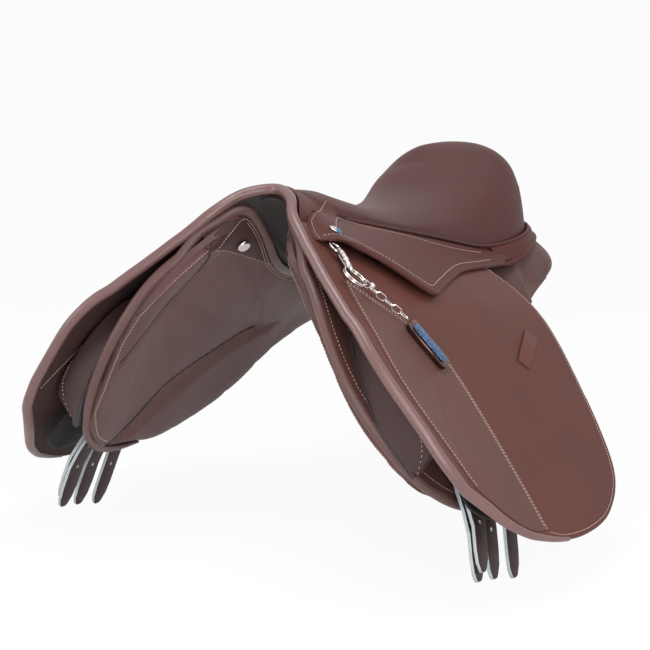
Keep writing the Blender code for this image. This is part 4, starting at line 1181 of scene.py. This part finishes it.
both_sides(lens, [], "skirt_body_left")
both_sides(nail, ["pommel_nail_left"])


# Dees: a chromed ring in a leather chape, sewn under the front of each skirt.
chape = skin_of("dee_chape_left", "chape_left", 2)
chape.data.materials.append(smooth_leather)
both_sides(chape, ["dee_chape_left"])
dee = skin_of("dee_ring_left", "dee_hoop_left", 2)
dee.data.materials.append(chrome)
both_sides(dee, ["dee_ring_left"])


# Charm on the near dee: a spring clip with a gate, a split ring of two turns, a link chain with a small
# round bell, and a smoked metal bar with a glittered blue inlay.
def lie_of(node):
    """Middle of a solid, its axes from the longest to the shortest, and its sizes along them."""
    spots = numpy.array([v.co for v in frame["nodes"][node].data.vertices])
    axes = numpy.linalg.eigh(numpy.cov(spots.T))[1]
    axes = [Vector(axes[:, k]) for k in (2, 1, 0)]
    reach = [(min(Vector(p).dot(a) for p in spots), max(Vector(p).dot(a) for p in spots)) for a in axes]
    middle = sum((a * (low + high) / 2 for a, (low, high) in zip(axes, reach)), Vector())
    return middle, axes, [high - low for low, high in reach]


middle, axes, sizes = lie_of("charm_clip")
wire = 0.0025
loop = []
for k in range(48):
    a = 2 * math.pi * k / 48
    x = math.copysign(abs(math.cos(a)) ** 0.75, math.cos(a)) * (sizes[0] / 2 - wire)
    y = math.copysign(abs(math.sin(a)) ** 0.85, math.sin(a)) * (sizes[1] / 2 - wire)
    loop.append(middle + axes[0] * x + axes[1] * y)
clip = rolled("key_clip", loop, wire, (False, False), loop=True)
clip.data.materials.append(chrome)
stand_in(clip, ["charm_clip"])
gate = []
for k in range(9):
    gate.append(middle + axes[0] * sizes[0] * (0.3 * k / 8 - 0.15) + axes[1] * (sizes[1] / 2 - wire))
clip_gate = rolled("key_clip_gate", gate, wire * 1.3, shares=[1, 1, 0.86, 1, 1, 1, 0.86, 1, 1])
clip_gate.data.materials.append(chrome)
stand_in(clip_gate, [], "charm_clip_body")
middle, axes, sizes = lie_of("charm_ring")
wire = 0.00105
coil = []
for k in range(97):
    a = 4 * math.pi * k / 96
    lean = axes[2] * 0.0011 * math.tanh((k - 48) / 6)
    coil.append(middle + (axes[0] * math.cos(a) + axes[1] * math.sin(a)) * (sizes[0] / 2 - 0.0014) + lean)
split_ring = rolled("key_ring", coil, wire)
split_ring.data.materials.append(chrome)
stand_in(split_ring, ["charm_ring"])
for node in ("charm_chain", "charm_bell"):
    piece = skin_of(node, node.replace("charm_", "key_"), 2)
    piece.data.materials.append(chrome)
    stand_in(piece, [node])
smoked = bright_metal("smoked bar metal", lin(104, 80, 74), 0.06, 0.05)
fob = skin_of("charm_fob", "key_bar", 0)
ease_edges(fob, 0.0007, 3)
fob.data.materials.append(smoked)
stand_in(fob, ["charm_fob"])


def glitter(name, dark, pale):
    """Cast resin with flakes of foil in it."""
    made, shader, spot = paint(name)
    flakes = spot.add("ShaderNodeTexVoronoi", {}, {"Vector": spot, "Scale": 900.0}, "Color")
    shade = spot.add("ShaderNodeSeparateColor", {}, {0: flakes})
    feed(shader, "Base Color", shade.between(0.35, 0.95).blend(dark, pale))
    feed(shader, "Roughness", shade * 0.3 + 0.12)
    feed(shader, "Metallic", shade.between(0.5, 0.9) * 0.8)
    feed(shader, "Normal", spot.add("ShaderNodeBump", {}, {"Strength": 0.6, "Distance": 0.0004,
                                                          "Height": shade}))
    return made


inlay = skin_of("charm_inlay", "key_inlay", 0)
ease_edges(inlay, 0.0004, 2)
inlay.data.materials.append(glitter("blue glitter", lin(16, 42, 80), lin(82, 126, 170)))
stand_in(inlay, ["charm_inlay"])
